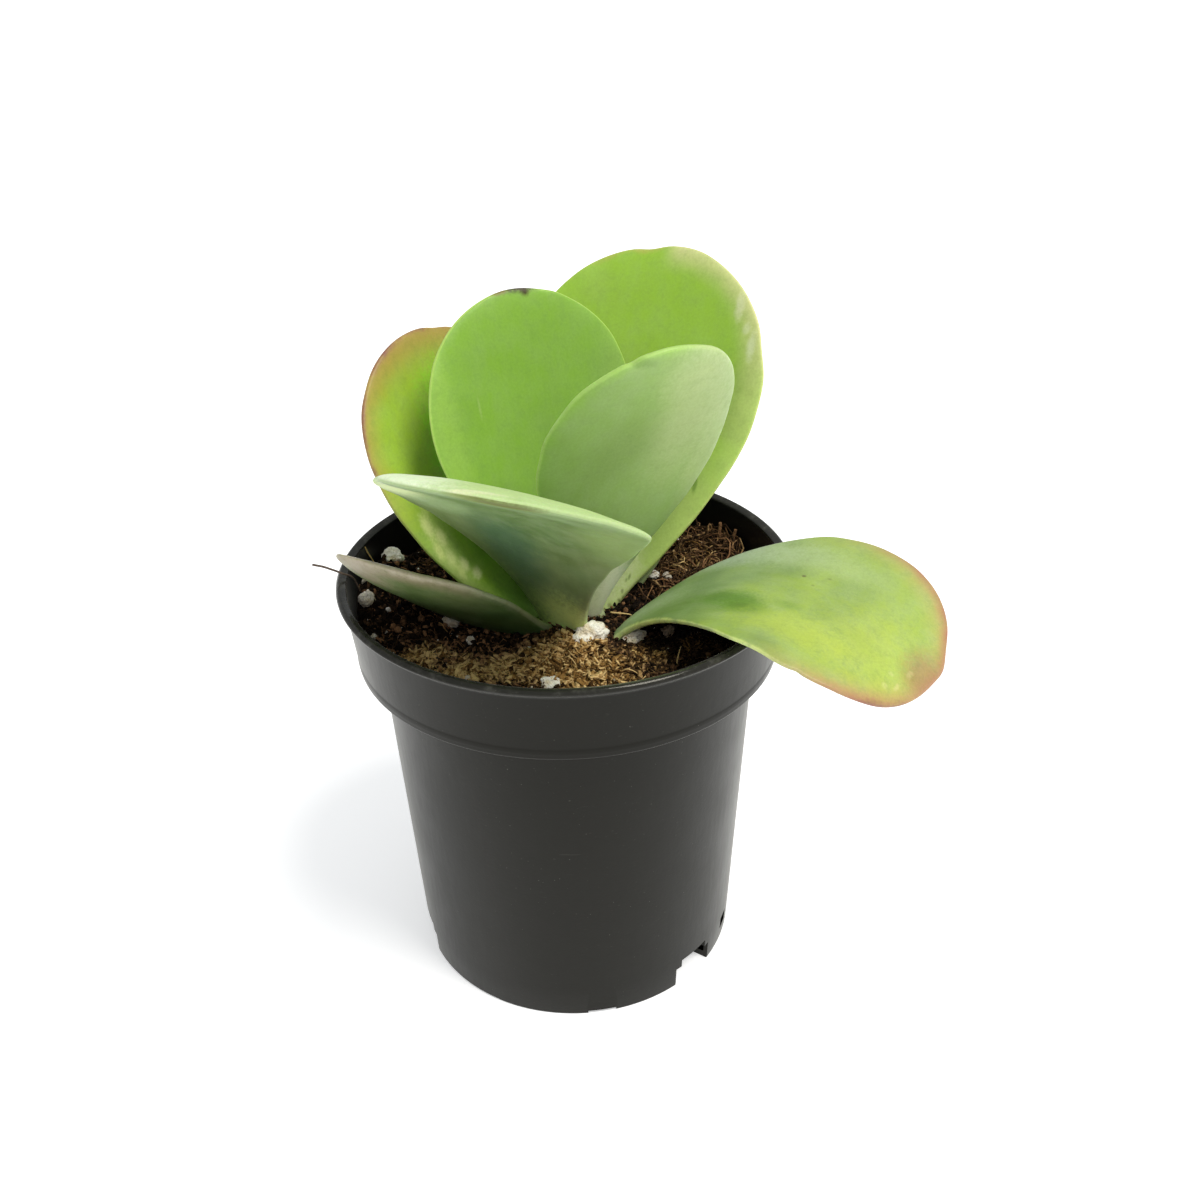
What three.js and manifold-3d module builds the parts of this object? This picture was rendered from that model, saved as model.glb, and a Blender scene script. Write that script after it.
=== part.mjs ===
// A paddle plant: a rosette of thick round leaves on a short stem, in the round nursery pot that it grew in.
// Millimetres, +Z up. The origin is the centre of the pot's underside, on the surface that the pot stands on.
// The lowest pair of leaves points along X, the big front leaf points along -Y.

import * as THREE from 'three';
import { mergeVertices } from 'three/addons/utils/BufferGeometryUtils.js';
import Module from 'manifold-3d';

const wasm = await Module();
wasm.setup();

// ---------------------------------------------------------------- driving dimensions

const GAP = 0.3;                  // clearance between pieces that touch

const POT_HEIGHT = 103;
const POT_WALL = 1.1;
const FLOOR_THICKNESS = 1.8;
const BASE_RADIUS = 39.6;         // body, at the bottom
const NECK_RADIUS = 43.9;         // body, just under the collar
const COLLAR_BOTTOM = 84;         // height of the collar's lower edge
const COLLAR_RADIUS = 49.0;       // collar, at its lower edge
const COLLAR_TOP_RADIUS = 50.6;   // collar, just under the lip
const LIP_RADIUS = 52.5;          // outside of the flat lip
const LIP_THICKNESS = 1.6;
const LIP_DIP = 0.6;              // the lip's top falls this much towards the inside
const POT_EDGE = 0.6;             // bevel on the pot's edges
const POT_SIDES = 60;

const NOTCH_ANGLES = [-43, 77, 197];   // degrees, one drain notch in every third of the bottom edge
const NOTCH_SPREAD = 18;               // degrees that a notch takes of the edge
const NOTCH_HEIGHT = 7.8;
const NOTCH_SHOULDER = 0.6;            // its top is stepped in to this share of the height and spread
const NOTCH_DEPTH = 8;                 // how far it reaches into the floor
const SLOT_ANGLES = [-20, 160];        // small side slots above the foot
const SLOT_SPREAD = 6;
const SLOT_FLOOR = 3.6;
const SLOT_CEILING = 7.0;
const SLOT_DEPTH = 2.5;
const FOOT_GAP_ANGLES = [-81, 39, 159];
const FOOT_GAP_SPREAD = 10;
const FOOT_GAP_HEIGHT = 0.9;
const FOOT_RECESS_ANGLES = [-134, -14, 106];
const FOOT_RECESS_SPREAD = 30;
const FOOT_RECESS_HEIGHT = 0.4;
const FOOT_RING_WIDTH = 5;             // the gaps and recesses reach this far in from the edge

const SOIL_LEVEL = 91.6;
const SOIL_RINGS = 10;
const SOIL_SIDES = 40;
const SOIL_CLEARANCE = 0.6;       // to the pot's wall, more than GAP because both are many-sided
// The surface is heaped along the left wall, at the back right and to the right of the stem, with a mound of
// coir in front of the stem and a hollow to its left.
const HEAPS = [
  { x: -46, y: 5, height: 4.4, spread: 9 },
  { x: -48, y: -2, height: 2.2, spread: 6 },
  { x: -43, y: 15, height: 2, spread: 5 },
  { x: 38, y: 26, height: 2.8, spread: 8 },
  { x: 0, y: -18, height: 1.4, spread: 9 },
  { x: 0, y: -14.5, height: 1.8, spread: 5 },
  { x: 14, y: 8, height: 2.2, spread: 4.5 },
  { x: -22, y: -4, height: -0.9, spread: 10 },
];
const LITTER_REACH = 46.8;        // crumbs and fibres stay inside this radius
const CRUMBS = 34;
const CRUMB_SIZE = { least: 0.9, most: 2.2 };
const FIBRES = 16;
const FIBRE_RADIUS = 0.42;
const FIBRE_NEST = { x: 30, y: 20, radius: 12 };   // every second fibre lies in this heap
const STALK_RADIUS = 0.55;
const STALKS = [
  { x: 37.5, y: 24.5, leanX: 0.4, leanY: 0.6, height: 5.2 },
  { x: 40, y: 22, leanX: 1.4, leanY: 0.6, height: 4.6 },
];

const STEM_X = 3.5;
const STEM_Y = -4;
const STEM_RADIUS = 5.4;
const STEM_FOOT = 72;             // the stem ends here, deep in the soil
const STEM_SHOULDER = 91;
const STEM_TOP = 98;
const STEM_TIP_RADIUS = 2.4;
const STEM_SIDES = 20;

const LEAF_THICKNESS = 3.3;       // at the middle of the blade
const FOOT_SWELL = 1.5;           // the foot is this many times as thick as the blade
const FOOT_TAPER = 0.5;           // share of the length over which the foot thins to the blade
const HEEL_WIDTH = 0.75;          // width of the heel as a share of the foot's
const CLOSING_POWER = 0.35;       // the faces close to a thin edge on this power of a parabola
const STOPS = [0, 0.03, 0.15, 0.6];   // points of a section, as shares of the way from the edge to the midrib
const TIP_TAPER = 12;             // the blade closes in the same way over this length before the tip
const LEAF_STATIONS = 16;
const LAST_STATION = 0.3;         // distance of the last section from the tip
const MIDRIB_STEPS = 48;

// Each leaf: azimuth in degrees from +X, and how far it swings on the way to the tip; rise above level at
// the foot and at the tip, and bend, which shifts the change towards one end; length, width; roll about its
// own midrib at the foot and the tip; cup, which lifts the edges towards the stem side; widest place and
// width of the foot, as shares of length and width; out and up, where the leaf leaves the stem; flare, which
// shapes the outline below the widest place; skew and slip, which make one half wider and bring its widest
// place lower.
const LEAVES = [
  { name: 'leaf_left_inner', azimuth: 137.5, swing: -19, rise: 72.5, riseTip: 79.5, length: 71, width: 51,
    roll: 1, rollTip: -2, cup: 0.12, widest: 0.62, foot: 0.23, out: 3.5, up: 94.5, flare: 1.3 },
  { name: 'leaf_right_inner', azimuth: -53.5, swing: 7, rise: 77, riseTip: 57, length: 78.5, width: 41,
    roll: -24, rollTip: -13, cup: 0.07, widest: 0.66, foot: 0.16, out: 2, up: 93.5, flare: 1.5, bend: 0.8 },
  { name: 'leaf_back', azimuth: 62.5, swing: 5, rise: 48, riseTip: 63.5, length: 88.5, width: 59.5,
    roll: 3, rollTip: -5, cup: 0.15, widest: 0.67, foot: 0.17, out: 4.5, up: 90, flare: 1.3,
    skew: 0.02, slip: -0.04 },
  { name: 'leaf_front', azimuth: -121, swing: 41, rise: 72, riseTip: 19, length: 88.5, width: 53.5,
    roll: -10, rollTip: -16, cup: -0.06, widest: 0.77, foot: 0.24, out: 7.5, up: 91.5, flare: 1.5,
    skew: 0.03, slip: -0.05 },
  { name: 'leaf_left_outer', azimuth: 155.5, swing: -15, rise: 48.5, riseTip: 75.5, length: 76.5, width: 51.5,
    roll: -10, rollTip: 3, cup: 0.06, widest: 0.69, foot: 0.29, out: 5.5, up: 86.5, flare: 1.3 },
  { name: 'leaf_low_right', azimuth: -18, swing: -17, rise: 49.5, riseTip: -41, length: 80, width: 50,
    roll: -7, rollTip: 9, cup: 0.12, widest: 0.68, foot: 0.19, out: 8.5, up: 88, flare: 1.5 },
  { name: 'leaf_low_left', azimuth: 199, swing: 14, rise: 25, riseTip: 46.5, length: 56.5, width: 40,
    roll: 34, rollTip: 16, cup: 0.14, widest: 0.54, foot: 0.33, out: 7, up: 87, flare: 1.5,
    skew: 0.05, slip: -0.08 },
  { name: 'leaf_low_back', azimuth: 68.5, swing: -3, rise: 45.5, riseTip: 55.5, length: 55, width: 33.5,
    roll: 0, rollTip: -24, cup: 0.16, widest: 0.61, foot: 0.28, out: 5, up: 81, flare: 1.3 },
];

// The young pair at the growing tip, small, upright and facing each other.
const BUD_THICKNESS = 2.0;
const BUD_STATIONS = 8;
const BUDS = [
  { name: 'bud_leaf_right', azimuth: 47, swing: 0, rise: 78, riseTip: 86, length: 15.5, width: 9.5,
    roll: 0, rollTip: 0, cup: 0.16, widest: 0.6, foot: 0.4, out: 1.6, up: 96.5, flare: 1.2 },
  { name: 'bud_leaf_left', azimuth: 227, swing: 0, rise: 80, riseTip: 88, length: 13, width: 8.5,
    roll: 0, rollTip: 0, cup: 0.16, widest: 0.6, foot: 0.4, out: 1.6, up: 96.5, flare: 1.2 },
];

// Perlite lumps: where they lie, how big they are across, and how high their middle stands over the soil.
const PERLITE = [
  { x: 5.5, y: -17.2, size: 7.8, lift: 1.3 },
  { x: -43.3, y: -13.4, size: 2.0, lift: 0.4 },
  { x: 15.1, y: -15.5, size: 5.2, lift: 0.8 },
  { x: -42.2, y: 16.4, size: 5.2, lift: 1.7 },
  { x: -45.7, y: -3.9, size: 4.6, lift: 0.8 },
  { x: -46.2, y: 0.8, size: 2.6, lift: 0.8 },
  { x: -26.4, y: -5.5, size: 4.2, lift: 0.3 },
  { x: -21.5, y: -14.7, size: 2.6, lift: 0.5 },
  { x: 19.9, y: 10.0, size: 3.0, lift: 1.0 },
  { x: 24.0, y: 11.0, size: 3.2, lift: 0.8 },
  { x: -3.1, y: -32.9, size: 4.4, lift: 0.5 },
  { x: 27.2, y: 28.4, size: 2.6, lift: 0.5 },
  { x: 22.6, y: -13.7, size: 3.4, lift: 0.2 },
  { x: -8.3, y: -20.4, size: 2.4, lift: 0.3 },
];

const PERLITE_SMALL = 3.1;
const PERLITE_SHAPE = { long: 1.1, wide: 0.9, high: 0.8 };
const PERLITE_KNOBS = { least: 0.8, most: 1.16 };   // how far the corners are pushed in and out

const WHISKER_RADIUS = 0.4;
const WHISKER_ROUTE = [
  [-47.1, -0.3, 93.5],
  [-47.6, -1.2, 98.4],
  [-48.5, -3.2, 102.6],
  [-50.4, -4.8, 104.4],
  [-53, -5, 105.8],
  [-56.7, -4.3, 106.5],
];

// ---------------------------------------------------------------- finishes

const finish = (color, roughness) => new THREE.MeshStandardMaterial({ color, roughness, metalness: 0 });
const FINISHES = {
  pot: finish(0x35352f, 0.42),
  soil: finish(0x4b3624, 0.95),
  stem: finish(0x9fae7c, 0.6),
  leaf: finish(0x86b64a, 0.5),
  leafBloom: finish(0x8fae8a, 0.6),
  perlite: finish(0xe6e0d2, 0.9),
  whisker: finish(0x5b4a3c, 0.8),
};

// ---------------------------------------------------------------- small tools

const radians = THREE.MathUtils.degToRad;

// Repeatable random numbers: each call gives one between its two limits.
function randomFrom(seed) {
  const period = 2 ** 32;
  let state = seed;
  return (low, high) => {
    state = (state * 1664525 + 1013904223) % period;
    return low + ((high - low) * state) / period;
  };
}

// A closed geometry becomes a solid that can be joined and cut.
function toSolid(geometry) {
  const bare = geometry.clone();
  bare.deleteAttribute('normal');
  bare.deleteAttribute('uv');
  const merged = mergeVertices(bare);
  const vertProperties = new Float32Array(merged.attributes.position.array);
  const triVerts = new Uint32Array(merged.index.array);
  return new wasm.Manifold(new wasm.Mesh({ numProp: 3, vertProperties, triVerts }));
}

// A solid becomes a named mesh. A cut that leaves loose scraps keeps only the biggest body.
function toMesh(name, solid, material) {
  const bodies = solid.decompose();
  const body = bodies.reduce((best, each) => (each.volume() > best.volume() ? each : best));
  const { numProp, vertProperties, triVerts } = body.getMesh();
  const positions = new Float32Array((vertProperties.length / numProp) * 3);
  for (let i = 0; i < positions.length / 3; i += 1) {
    for (let axis = 0; axis < 3; axis += 1) positions[3 * i + axis] = vertProperties[numProp * i + axis];
  }
  const geometry = new THREE.BufferGeometry();
  geometry.setAttribute('position', new THREE.BufferAttribute(positions, 3));
  geometry.setIndex(new THREE.BufferAttribute(new Uint32Array(triVerts), 1));
  geometry.computeVertexNormals();
  const mesh = new THREE.Mesh(geometry, material);
  mesh.name = name;
  return mesh;
}

// A skin over rings of points that all have the same count, closed by a fan at each end.
// Seen along the way from the first ring to the last, the points of a ring run clockwise.
function loft(rings) {
  const count = rings[0].length;
  const points = rings.flat();
  const middle = (ring) => ring.reduce((sum, p) => sum.add(p), new THREE.Vector3()).divideScalar(count);
  const start = points.push(middle(rings[0])) - 1;
  const end = points.push(middle(rings.at(-1))) - 1;
  const faces = [];
  for (let r = 0; r + 1 < rings.length; r += 1) {
    for (let i = 0; i < count; i += 1) {
      const a = r * count + i;
      const b = r * count + (i + 1) % count;
      faces.push(a, a + count, b, b, a + count, b + count);
    }
  }
  const last = (rings.length - 1) * count;
  for (let i = 0; i < count; i += 1) {
    faces.push(start, i, (i + 1) % count);
    faces.push(end, last + (i + 1) % count, last + i);
  }
  const geometry = new THREE.BufferGeometry().setFromPoints(points);
  geometry.setIndex(faces);
  return geometry;
}

// A round solid from a list of radius and height pairs that starts and ends on the axis.
function turned(profile, sides) {
  const outline = profile.map(([radius, height]) => new THREE.Vector2(radius, height));
  const geometry = new THREE.LatheGeometry(outline, sides);
  geometry.rotateX(Math.PI / 2);
  return toSolid(geometry);
}

// A wedge of a ring, between two radii and two heights, around a direction.
function ringBlock(angle, spread, inner, outer, low, high) {
  const steps = 4;
  const shape = new THREE.Shape();
  const from = radians(angle - spread / 2);
  const to = radians(angle + spread / 2);
  for (let i = 0; i <= steps; i += 1) {
    const a = from + ((to - from) * i) / steps;
    shape[i ? 'lineTo' : 'moveTo'](outer * Math.cos(a), outer * Math.sin(a));
  }
  for (let i = steps; i >= 0; i -= 1) {
    const a = from + ((to - from) * i) / steps;
    shape.lineTo(inner * Math.cos(a), inner * Math.sin(a));
  }
  const geometry = new THREE.ExtrudeGeometry(shape, { depth: high - low, bevelEnabled: false });
  geometry.translate(0, 0, low);
  return toSolid(geometry);
}

// A tube of a few sides along a curve.
function tube(points, radius, sides, steps) {
  const curve = new THREE.CatmullRomCurve3(points);
  const outline = [];
  for (let i = 0; i < sides; i += 1) {
    const a = (2 * Math.PI * i) / sides;
    outline.push(new THREE.Vector2(radius * Math.cos(a), radius * Math.sin(a)));
  }
  const path = { extrudePath: curve, steps, bevelEnabled: false };
  return toSolid(new THREE.ExtrudeGeometry(new THREE.Shape(outline), path));
}

// ---------------------------------------------------------------- pot

const LEDGE = COLLAR_BOTTOM + POT_WALL;   // height of the step inside the pot, where the collar starts

// Radius of the pot's inner wall at a height: body, then the wider collar.
function innerRadius(z) {
  if (z < LEDGE) return BASE_RADIUS - POT_WALL + ((NECK_RADIUS - BASE_RADIUS) * z) / COLLAR_BOTTOM;
  const share = (z - COLLAR_BOTTOM) / (POT_HEIGHT - COLLAR_BOTTOM);
  return COLLAR_RADIUS - POT_WALL + (COLLAR_TOP_RADIUS - COLLAR_RADIUS) * share;
}

function potSolid() {
  const lipUnderside = POT_HEIGHT - LIP_THICKNESS;
  const mouth = innerRadius(POT_HEIGHT);
  const profile = [
    [0, 0],
    [BASE_RADIUS - POT_EDGE, 0],
    [BASE_RADIUS, POT_EDGE],
    [NECK_RADIUS, COLLAR_BOTTOM - POT_EDGE],
    [NECK_RADIUS + POT_EDGE, COLLAR_BOTTOM],
    [COLLAR_RADIUS - POT_EDGE, COLLAR_BOTTOM],
    [COLLAR_RADIUS, COLLAR_BOTTOM + POT_EDGE],
    [COLLAR_TOP_RADIUS, lipUnderside],
    [LIP_RADIUS - POT_EDGE / 2, lipUnderside],
    [LIP_RADIUS, lipUnderside + POT_EDGE / 2],
    [LIP_RADIUS, POT_HEIGHT - POT_EDGE],
    [LIP_RADIUS - POT_EDGE, POT_HEIGHT],
    [mouth + POT_EDGE, POT_HEIGHT - LIP_DIP],
    [mouth, POT_HEIGHT - LIP_DIP - POT_EDGE],
    [innerRadius(LEDGE), LEDGE],
    [innerRadius(COLLAR_BOTTOM), LEDGE],
    [innerRadius(FLOOR_THICKNESS), FLOOR_THICKNESS],
    [0, FLOOR_THICKNESS],
  ];
  const below = -1;
  const beyond = BASE_RADIUS + 3;
  const ring = (angles, spread, depth, low, high) =>
    angles.map((angle) => ringBlock(angle, spread, BASE_RADIUS - depth, beyond, low, high));
  const cuts = [
    ...ring(NOTCH_ANGLES, NOTCH_SPREAD, NOTCH_DEPTH, below, NOTCH_HEIGHT * NOTCH_SHOULDER),
    ...ring(NOTCH_ANGLES, NOTCH_SPREAD * NOTCH_SHOULDER, NOTCH_DEPTH, 0, NOTCH_HEIGHT),
    ...ring(SLOT_ANGLES, SLOT_SPREAD, SLOT_DEPTH, SLOT_FLOOR, SLOT_CEILING),
    ...ring(FOOT_GAP_ANGLES, FOOT_GAP_SPREAD, FOOT_RING_WIDTH, below, FOOT_GAP_HEIGHT),
    ...ring(FOOT_RECESS_ANGLES, FOOT_RECESS_SPREAD, FOOT_RING_WIDTH, below, FOOT_RECESS_HEIGHT),
  ];
  return cuts.reduce((pot, cut) => pot.subtract(cut), turned(profile, POT_SIDES));
}

// ---------------------------------------------------------------- stem

// A stout peg that tapers from the shoulder to the growing tip. grow makes it larger all round.
function stemSolid(grow) {
  const waist = (STEM_RADIUS + STEM_TIP_RADIUS) / 2;
  const profile = [
    [0, STEM_FOOT - grow],
    [waist + grow, STEM_FOOT - grow],
    [STEM_RADIUS + grow, STEM_FOOT + STEM_RADIUS],
    [STEM_RADIUS + grow, STEM_SHOULDER],
    [waist + grow, (STEM_SHOULDER + STEM_TOP) / 2],
    [STEM_TIP_RADIUS + grow, STEM_TOP - 1],
    [STEM_TIP_RADIUS / 2 + grow, STEM_TOP + grow],
    [0, STEM_TOP + grow],
  ];
  return turned(profile, STEM_SIDES).translate([STEM_X, STEM_Y, 0]);
}

// ---------------------------------------------------------------- leaves

// Half of the blade's width at a share u of the length, as a share of the widest half. The foot widens on a
// sine to the widest place, and from there the outline is a quarter of an ellipse to the tip.
function bladeWidth(leaf, u, side) {
  const widest = leaf.widest - side * (leaf.slip ?? 0);
  if (u < widest) {
    const opening = Math.sin((Math.PI / 2) * Math.max(u / widest, 0)) ** leaf.flare;
    return leaf.foot + (1 - leaf.foot) * opening;
  }
  return Math.sqrt(1 - Math.min((u - widest) / (1 - widest), 1) ** 2);
}

// Thickness at a share of the way in from an edge, as a share of the full thickness.
function closing(share) {
  return (1 - (1 - share) ** 2) ** CLOSING_POWER;
}

// Directions along, across and square to the blade at a share u of the length.
function bladeFrame(leaf, u) {
  const azimuth = radians(leaf.azimuth + leaf.swing * u);
  const rise = radians(leaf.rise + (leaf.riseTip - leaf.rise) * u ** (leaf.bend ?? 1));
  const roll = radians(leaf.roll + (leaf.rollTip - leaf.roll) * u);
  const level = Math.cos(rise);
  const along = new THREE.Vector3(level * Math.cos(azimuth), level * Math.sin(azimuth), Math.sin(rise));
  const across = new THREE.Vector3(-Math.sin(azimuth), Math.cos(azimuth), 0).applyAxisAngle(along, roll);
  const square = new THREE.Vector3().crossVectors(along, across);
  return { along, across, square };
}

// Midrib point at a share u of the length, by small steps from where the leaf leaves the stem.
function midrib(leaf, u) {
  const azimuth = radians(leaf.azimuth);
  const point = new THREE.Vector3(
    STEM_X + leaf.out * Math.cos(azimuth),
    STEM_Y + leaf.out * Math.sin(azimuth),
    leaf.up,
  );
  const step = (leaf.length * u) / MIDRIB_STEPS;
  for (let i = 0; i < MIDRIB_STEPS; i += 1) {
    point.addScaledVector(bladeFrame(leaf, (u * (i + 0.5)) / MIDRIB_STEPS).along, step);
  }
  return point;
}

// One section of a leaf: across the upper face from edge to edge, then back across the lower face.
// It is shaped like a lens, and follows the cup.
function leafSection(leaf, u, centre, halfWidths, thickness) {
  const { across, square } = bladeFrame(leaf, u);
  const [left, right] = halfWidths;
  const stops = [
    ...STOPS.map((share) => [-left * (1 - share), share]),
    ...STOPS.map((share) => [right * (1 - share), share]).toReversed(),
  ];
  const face = (places, side) => places.map(([x, share]) => {
    const bend = (leaf.cup * x * x) / (leaf.width / 2);
    const height = side * (thickness / 2) * closing(share);
    return centre.clone().addScaledVector(across, x).addScaledVector(square, bend + height);
  });
  return [...face(stops, 1), ...face(stops.slice(1, -1).toReversed(), -1)];
}

// Shares of the length where the sections stand: even up to the widest place, then closer towards the tip.
function stationShares(leaf, stations) {
  const below = Math.round(stations * 0.6);
  const above = stations - below;
  const shares = [];
  for (let i = 0; i < below; i += 1) shares.push((leaf.widest * i) / below);
  for (let i = 0; i < above; i += 1) {
    shares.push(leaf.widest + (1 - leaf.widest) * Math.sin((Math.PI / 2) * (i / above)));
  }
  shares.push(1 - LAST_STATION / leaf.length);
  return shares;
}

// The whole leaf. Its heel runs back and down to the stem's axis, under the soil or behind the other leaves,
// so that it butts on the stem once the stem is cut out of it. grow makes the same leaf larger all round.
function leafSolid(leaf, thickness, stations, grow = 0) {
  const halfWidths = (u) => [-1, 1].map((side) => {
    const half = (leaf.width / 2) * (1 + side * (leaf.skew ?? 0));
    return half * bladeWidth(leaf, u, side) + grow;
  });
  const heel = new THREE.Vector3(STEM_X, STEM_Y, leaf.up - leaf.out);
  const heelWidths = halfWidths(0).map((half) => half * HEEL_WIDTH);
  const rings = [leafSection(leaf, 0, heel, heelWidths, thickness * FOOT_SWELL + 2 * grow)];
  for (const u of stationShares(leaf, stations)) {
    const swell = 1 + (FOOT_SWELL - 1) * Math.max(0, 1 - u / FOOT_TAPER) ** 2;
    const toTip = Math.min(((1 - u) * leaf.length) / TIP_TAPER, 1);
    const thick = thickness * swell * closing(toTip) + 2 * grow;
    rings.push(leafSection(leaf, u, midrib(leaf, u), halfWidths(u), thick));
  }
  const tip = midrib(leaf, 1).addScaledVector(bladeFrame(leaf, 1).along, grow);
  rings.push(rings[0].map(() => tip.clone()));
  return toSolid(loft(rings));
}

// ---------------------------------------------------------------- soil

// Height of the soil surface: level, with the heaps and a fine waviness everywhere.
function soilHeight(x, y) {
  const waves = 0.35 * Math.sin(0.55 * x + 1.1) * Math.cos(0.48 * y - 0.4)
    + 0.22 * Math.sin(1.1 * x - 0.9 * y + 2)
    + 0.15 * Math.sin(1.7 * y + 0.8 * x);
  const heaped = HEAPS.reduce((sum, heap) => {
    const away = ((x - heap.x) ** 2 + (y - heap.y) ** 2) / (2 * heap.spread ** 2);
    return sum + heap.height * Math.exp(-away);
  }, 0);
  return SOIL_LEVEL + waves + heaped;
}

// The bare fill: it follows the pot's inner wall a gap away, and its top follows soilHeight.
function fillSolid() {
  const circle = (radius, height) => {
    const ring = [];
    for (let i = 0; i < SOIL_SIDES; i += 1) {
      const angle = (-2 * Math.PI * i) / SOIL_SIDES;
      const x = radius * Math.cos(angle);
      const y = radius * Math.sin(angle);
      ring.push(new THREE.Vector3(x, y, height ?? soilHeight(x, y)));
    }
    return ring;
  };
  const floor = FLOOR_THICKNESS + GAP;
  const ledge = LEDGE + GAP;
  const rings = [
    circle(innerRadius(floor) - SOIL_CLEARANCE, floor),
    circle(innerRadius(COLLAR_BOTTOM) - SOIL_CLEARANCE, ledge),
    circle(innerRadius(ledge) - SOIL_CLEARANCE, ledge),
  ];
  const rim = innerRadius(SOIL_LEVEL) - SOIL_CLEARANCE;
  for (let i = SOIL_RINGS; i > 0; i -= 1) rings.push(circle((rim * i) / SOIL_RINGS));
  return toSolid(loft(rings));
}

// Crumbs of bark and peat, half sunk in the surface.
function crumbSolids() {
  const random = randomFrom(11);
  const crumbs = [];
  for (let i = 0; i < CRUMBS; i += 1) {
    const size = random(CRUMB_SIZE.least, CRUMB_SIZE.most);
    const radius = (LITTER_REACH - size) * Math.sqrt(random(0, 1));
    const angle = random(0, 2 * Math.PI);
    const x = radius * Math.cos(angle);
    const y = radius * Math.sin(angle);
    const crumb = new THREE.IcosahedronGeometry(size, 0);
    crumb.scale(1, random(0.5, 0.9), 0.6);
    crumb.rotateZ(random(0, 2 * Math.PI));
    crumb.rotateX(random(0, 0.5));
    crumb.translate(x, y, soilHeight(x, y) + 0.15 * size);
    crumbs.push(toSolid(crumb));
  }
  return crumbs;
}

// Coir fibres: low arcs with both ends sunk in the soil.
function fibreSolids() {
  const random = randomFrom(5);
  const sunk = 2 * FIBRE_RADIUS;
  const fibres = [];
  for (let i = 0; i < FIBRES; i += 1) {
    const nest = i % 2 === 0 ? FIBRE_NEST : { x: 0, y: 0, radius: LITTER_REACH };
    const radius = nest.radius * Math.sqrt(random(0, 1));
    const angle = random(0, 2 * Math.PI);
    const turn = random(0, 2 * Math.PI);
    const reach = random(3, 7);
    const bow = random(-0.8, 0.8);
    const rise = random(0.8, 2.2);
    const points = [-1, -0.5, 0, 0.5, 1].map((t) => {
      const arch = 1 - t * t;
      const point = new THREE.Vector2(reach * t, bow * arch);
      point.rotateAround(new THREE.Vector2(), turn);
      point.x += nest.x + radius * Math.cos(angle);
      point.y += nest.y + radius * Math.sin(angle);
      point.clampLength(0, LITTER_REACH - FIBRE_RADIUS);
      return new THREE.Vector3(point.x, point.y, soilHeight(point.x, point.y) - sunk + (rise + sunk) * arch);
    });
    fibres.push(tube(points, FIBRE_RADIUS, 4, 5));
  }
  return fibres;
}

// Two broken stalks that stand up out of the heap at the back right.
function stalkSolids() {
  return STALKS.map(({ x, y, leanX, leanY, height }) => {
    const points = [-1.5, height / 2, height].map((rise) => {
      const share = rise / height;
      return new THREE.Vector3(x + leanX * share, y + leanY * share, soilHeight(x, y) + rise);
    });
    return tube(points, STALK_RADIUS, 5, 3);
  });
}

// ---------------------------------------------------------------- perlite and whisker

// A burst, knobbly grain: a ball of 80 faces, or 20 on a small one, whose corners are pushed in and out.
function perliteSolid({ x, y, size, lift }, index, grow = 0) {
  const random = randomFrom(100 + index);
  const bare = new THREE.IcosahedronGeometry(size / 2, size < PERLITE_SMALL ? 0 : 1);
  bare.deleteAttribute('normal');
  bare.deleteAttribute('uv');
  const grain = mergeVertices(bare);
  const corners = grain.attributes.position;
  const corner = new THREE.Vector3();
  for (let i = 0; i < corners.count; i += 1) {
    corner.fromBufferAttribute(corners, i);
    corner.multiplyScalar(random(PERLITE_KNOBS.least, PERLITE_KNOBS.most));
    corner.setLength(corner.length() + grow);
    corners.setXYZ(i, corner.x, corner.y, corner.z);
  }
  grain.scale(PERLITE_SHAPE.long, PERLITE_SHAPE.wide, PERLITE_SHAPE.high);
  grain.rotateZ(random(0, 2 * Math.PI));
  grain.translate(x, y, soilHeight(x, y) + lift);
  return toSolid(grain);
}

// A dark root fibre that leaves the soil at the left wall and springs out over the lip.
function whiskerSolid(radius) {
  return tube(WHISKER_ROUTE.map((point) => new THREE.Vector3(...point)), radius, 5, 10);
}

// ---------------------------------------------------------------- assembly

const plant = new THREE.Group();

const pot = potSolid();
const stem = stemSolid(0);
plant.add(toMesh('pot', pot, FINISHES.pot));
plant.add(toMesh('stem', stem, FINISHES.stem));

// Inner leaves come first. Each later one is cut back a gap away from the stem and from those before it.
let taken = stemSolid(GAP);
const addLeaf = (leaf, thickness, stations, material) => {
  const blade = leafSolid(leaf, thickness, stations).subtract(taken);
  taken = taken.add(leafSolid(leaf, thickness, stations, GAP));
  plant.add(toMesh(leaf.name, blade, material));
};
for (const bud of BUDS) addLeaf(bud, BUD_THICKNESS, BUD_STATIONS, FINISHES.leafBloom);
for (const leaf of LEAVES) addLeaf(leaf, LEAF_THICKNESS, LEAF_STATIONS, FINISHES.leaf);

const whiskerHole = whiskerSolid(WHISKER_RADIUS + GAP);
plant.add(toMesh('whisker', whiskerSolid(WHISKER_RADIUS), FINISHES.whisker));

const surfaceLitter = [...crumbSolids(), ...fibreSolids(), ...stalkSolids()];
let soil = surfaceLitter.reduce((sum, piece) => sum.add(piece), fillSolid());
soil = soil.subtract(taken).subtract(whiskerHole);
PERLITE.forEach((grain, index) => {
  soil = soil.subtract(perliteSolid(grain, index, GAP));
  const lump = perliteSolid(grain, index).subtract(taken);
  plant.add(toMesh(`perlite_${String(index + 1).padStart(2, '0')}`, lump, FINISHES.perlite));
});
plant.add(toMesh('soil', soil, FINISHES.soil));

export default plant;
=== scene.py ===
"""A potted paddle plant: looks around the fixed frame of its solids. Metres, +Z up."""
import math

import bpy
import numpy as np
from mathutils import Matrix, Vector


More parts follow.
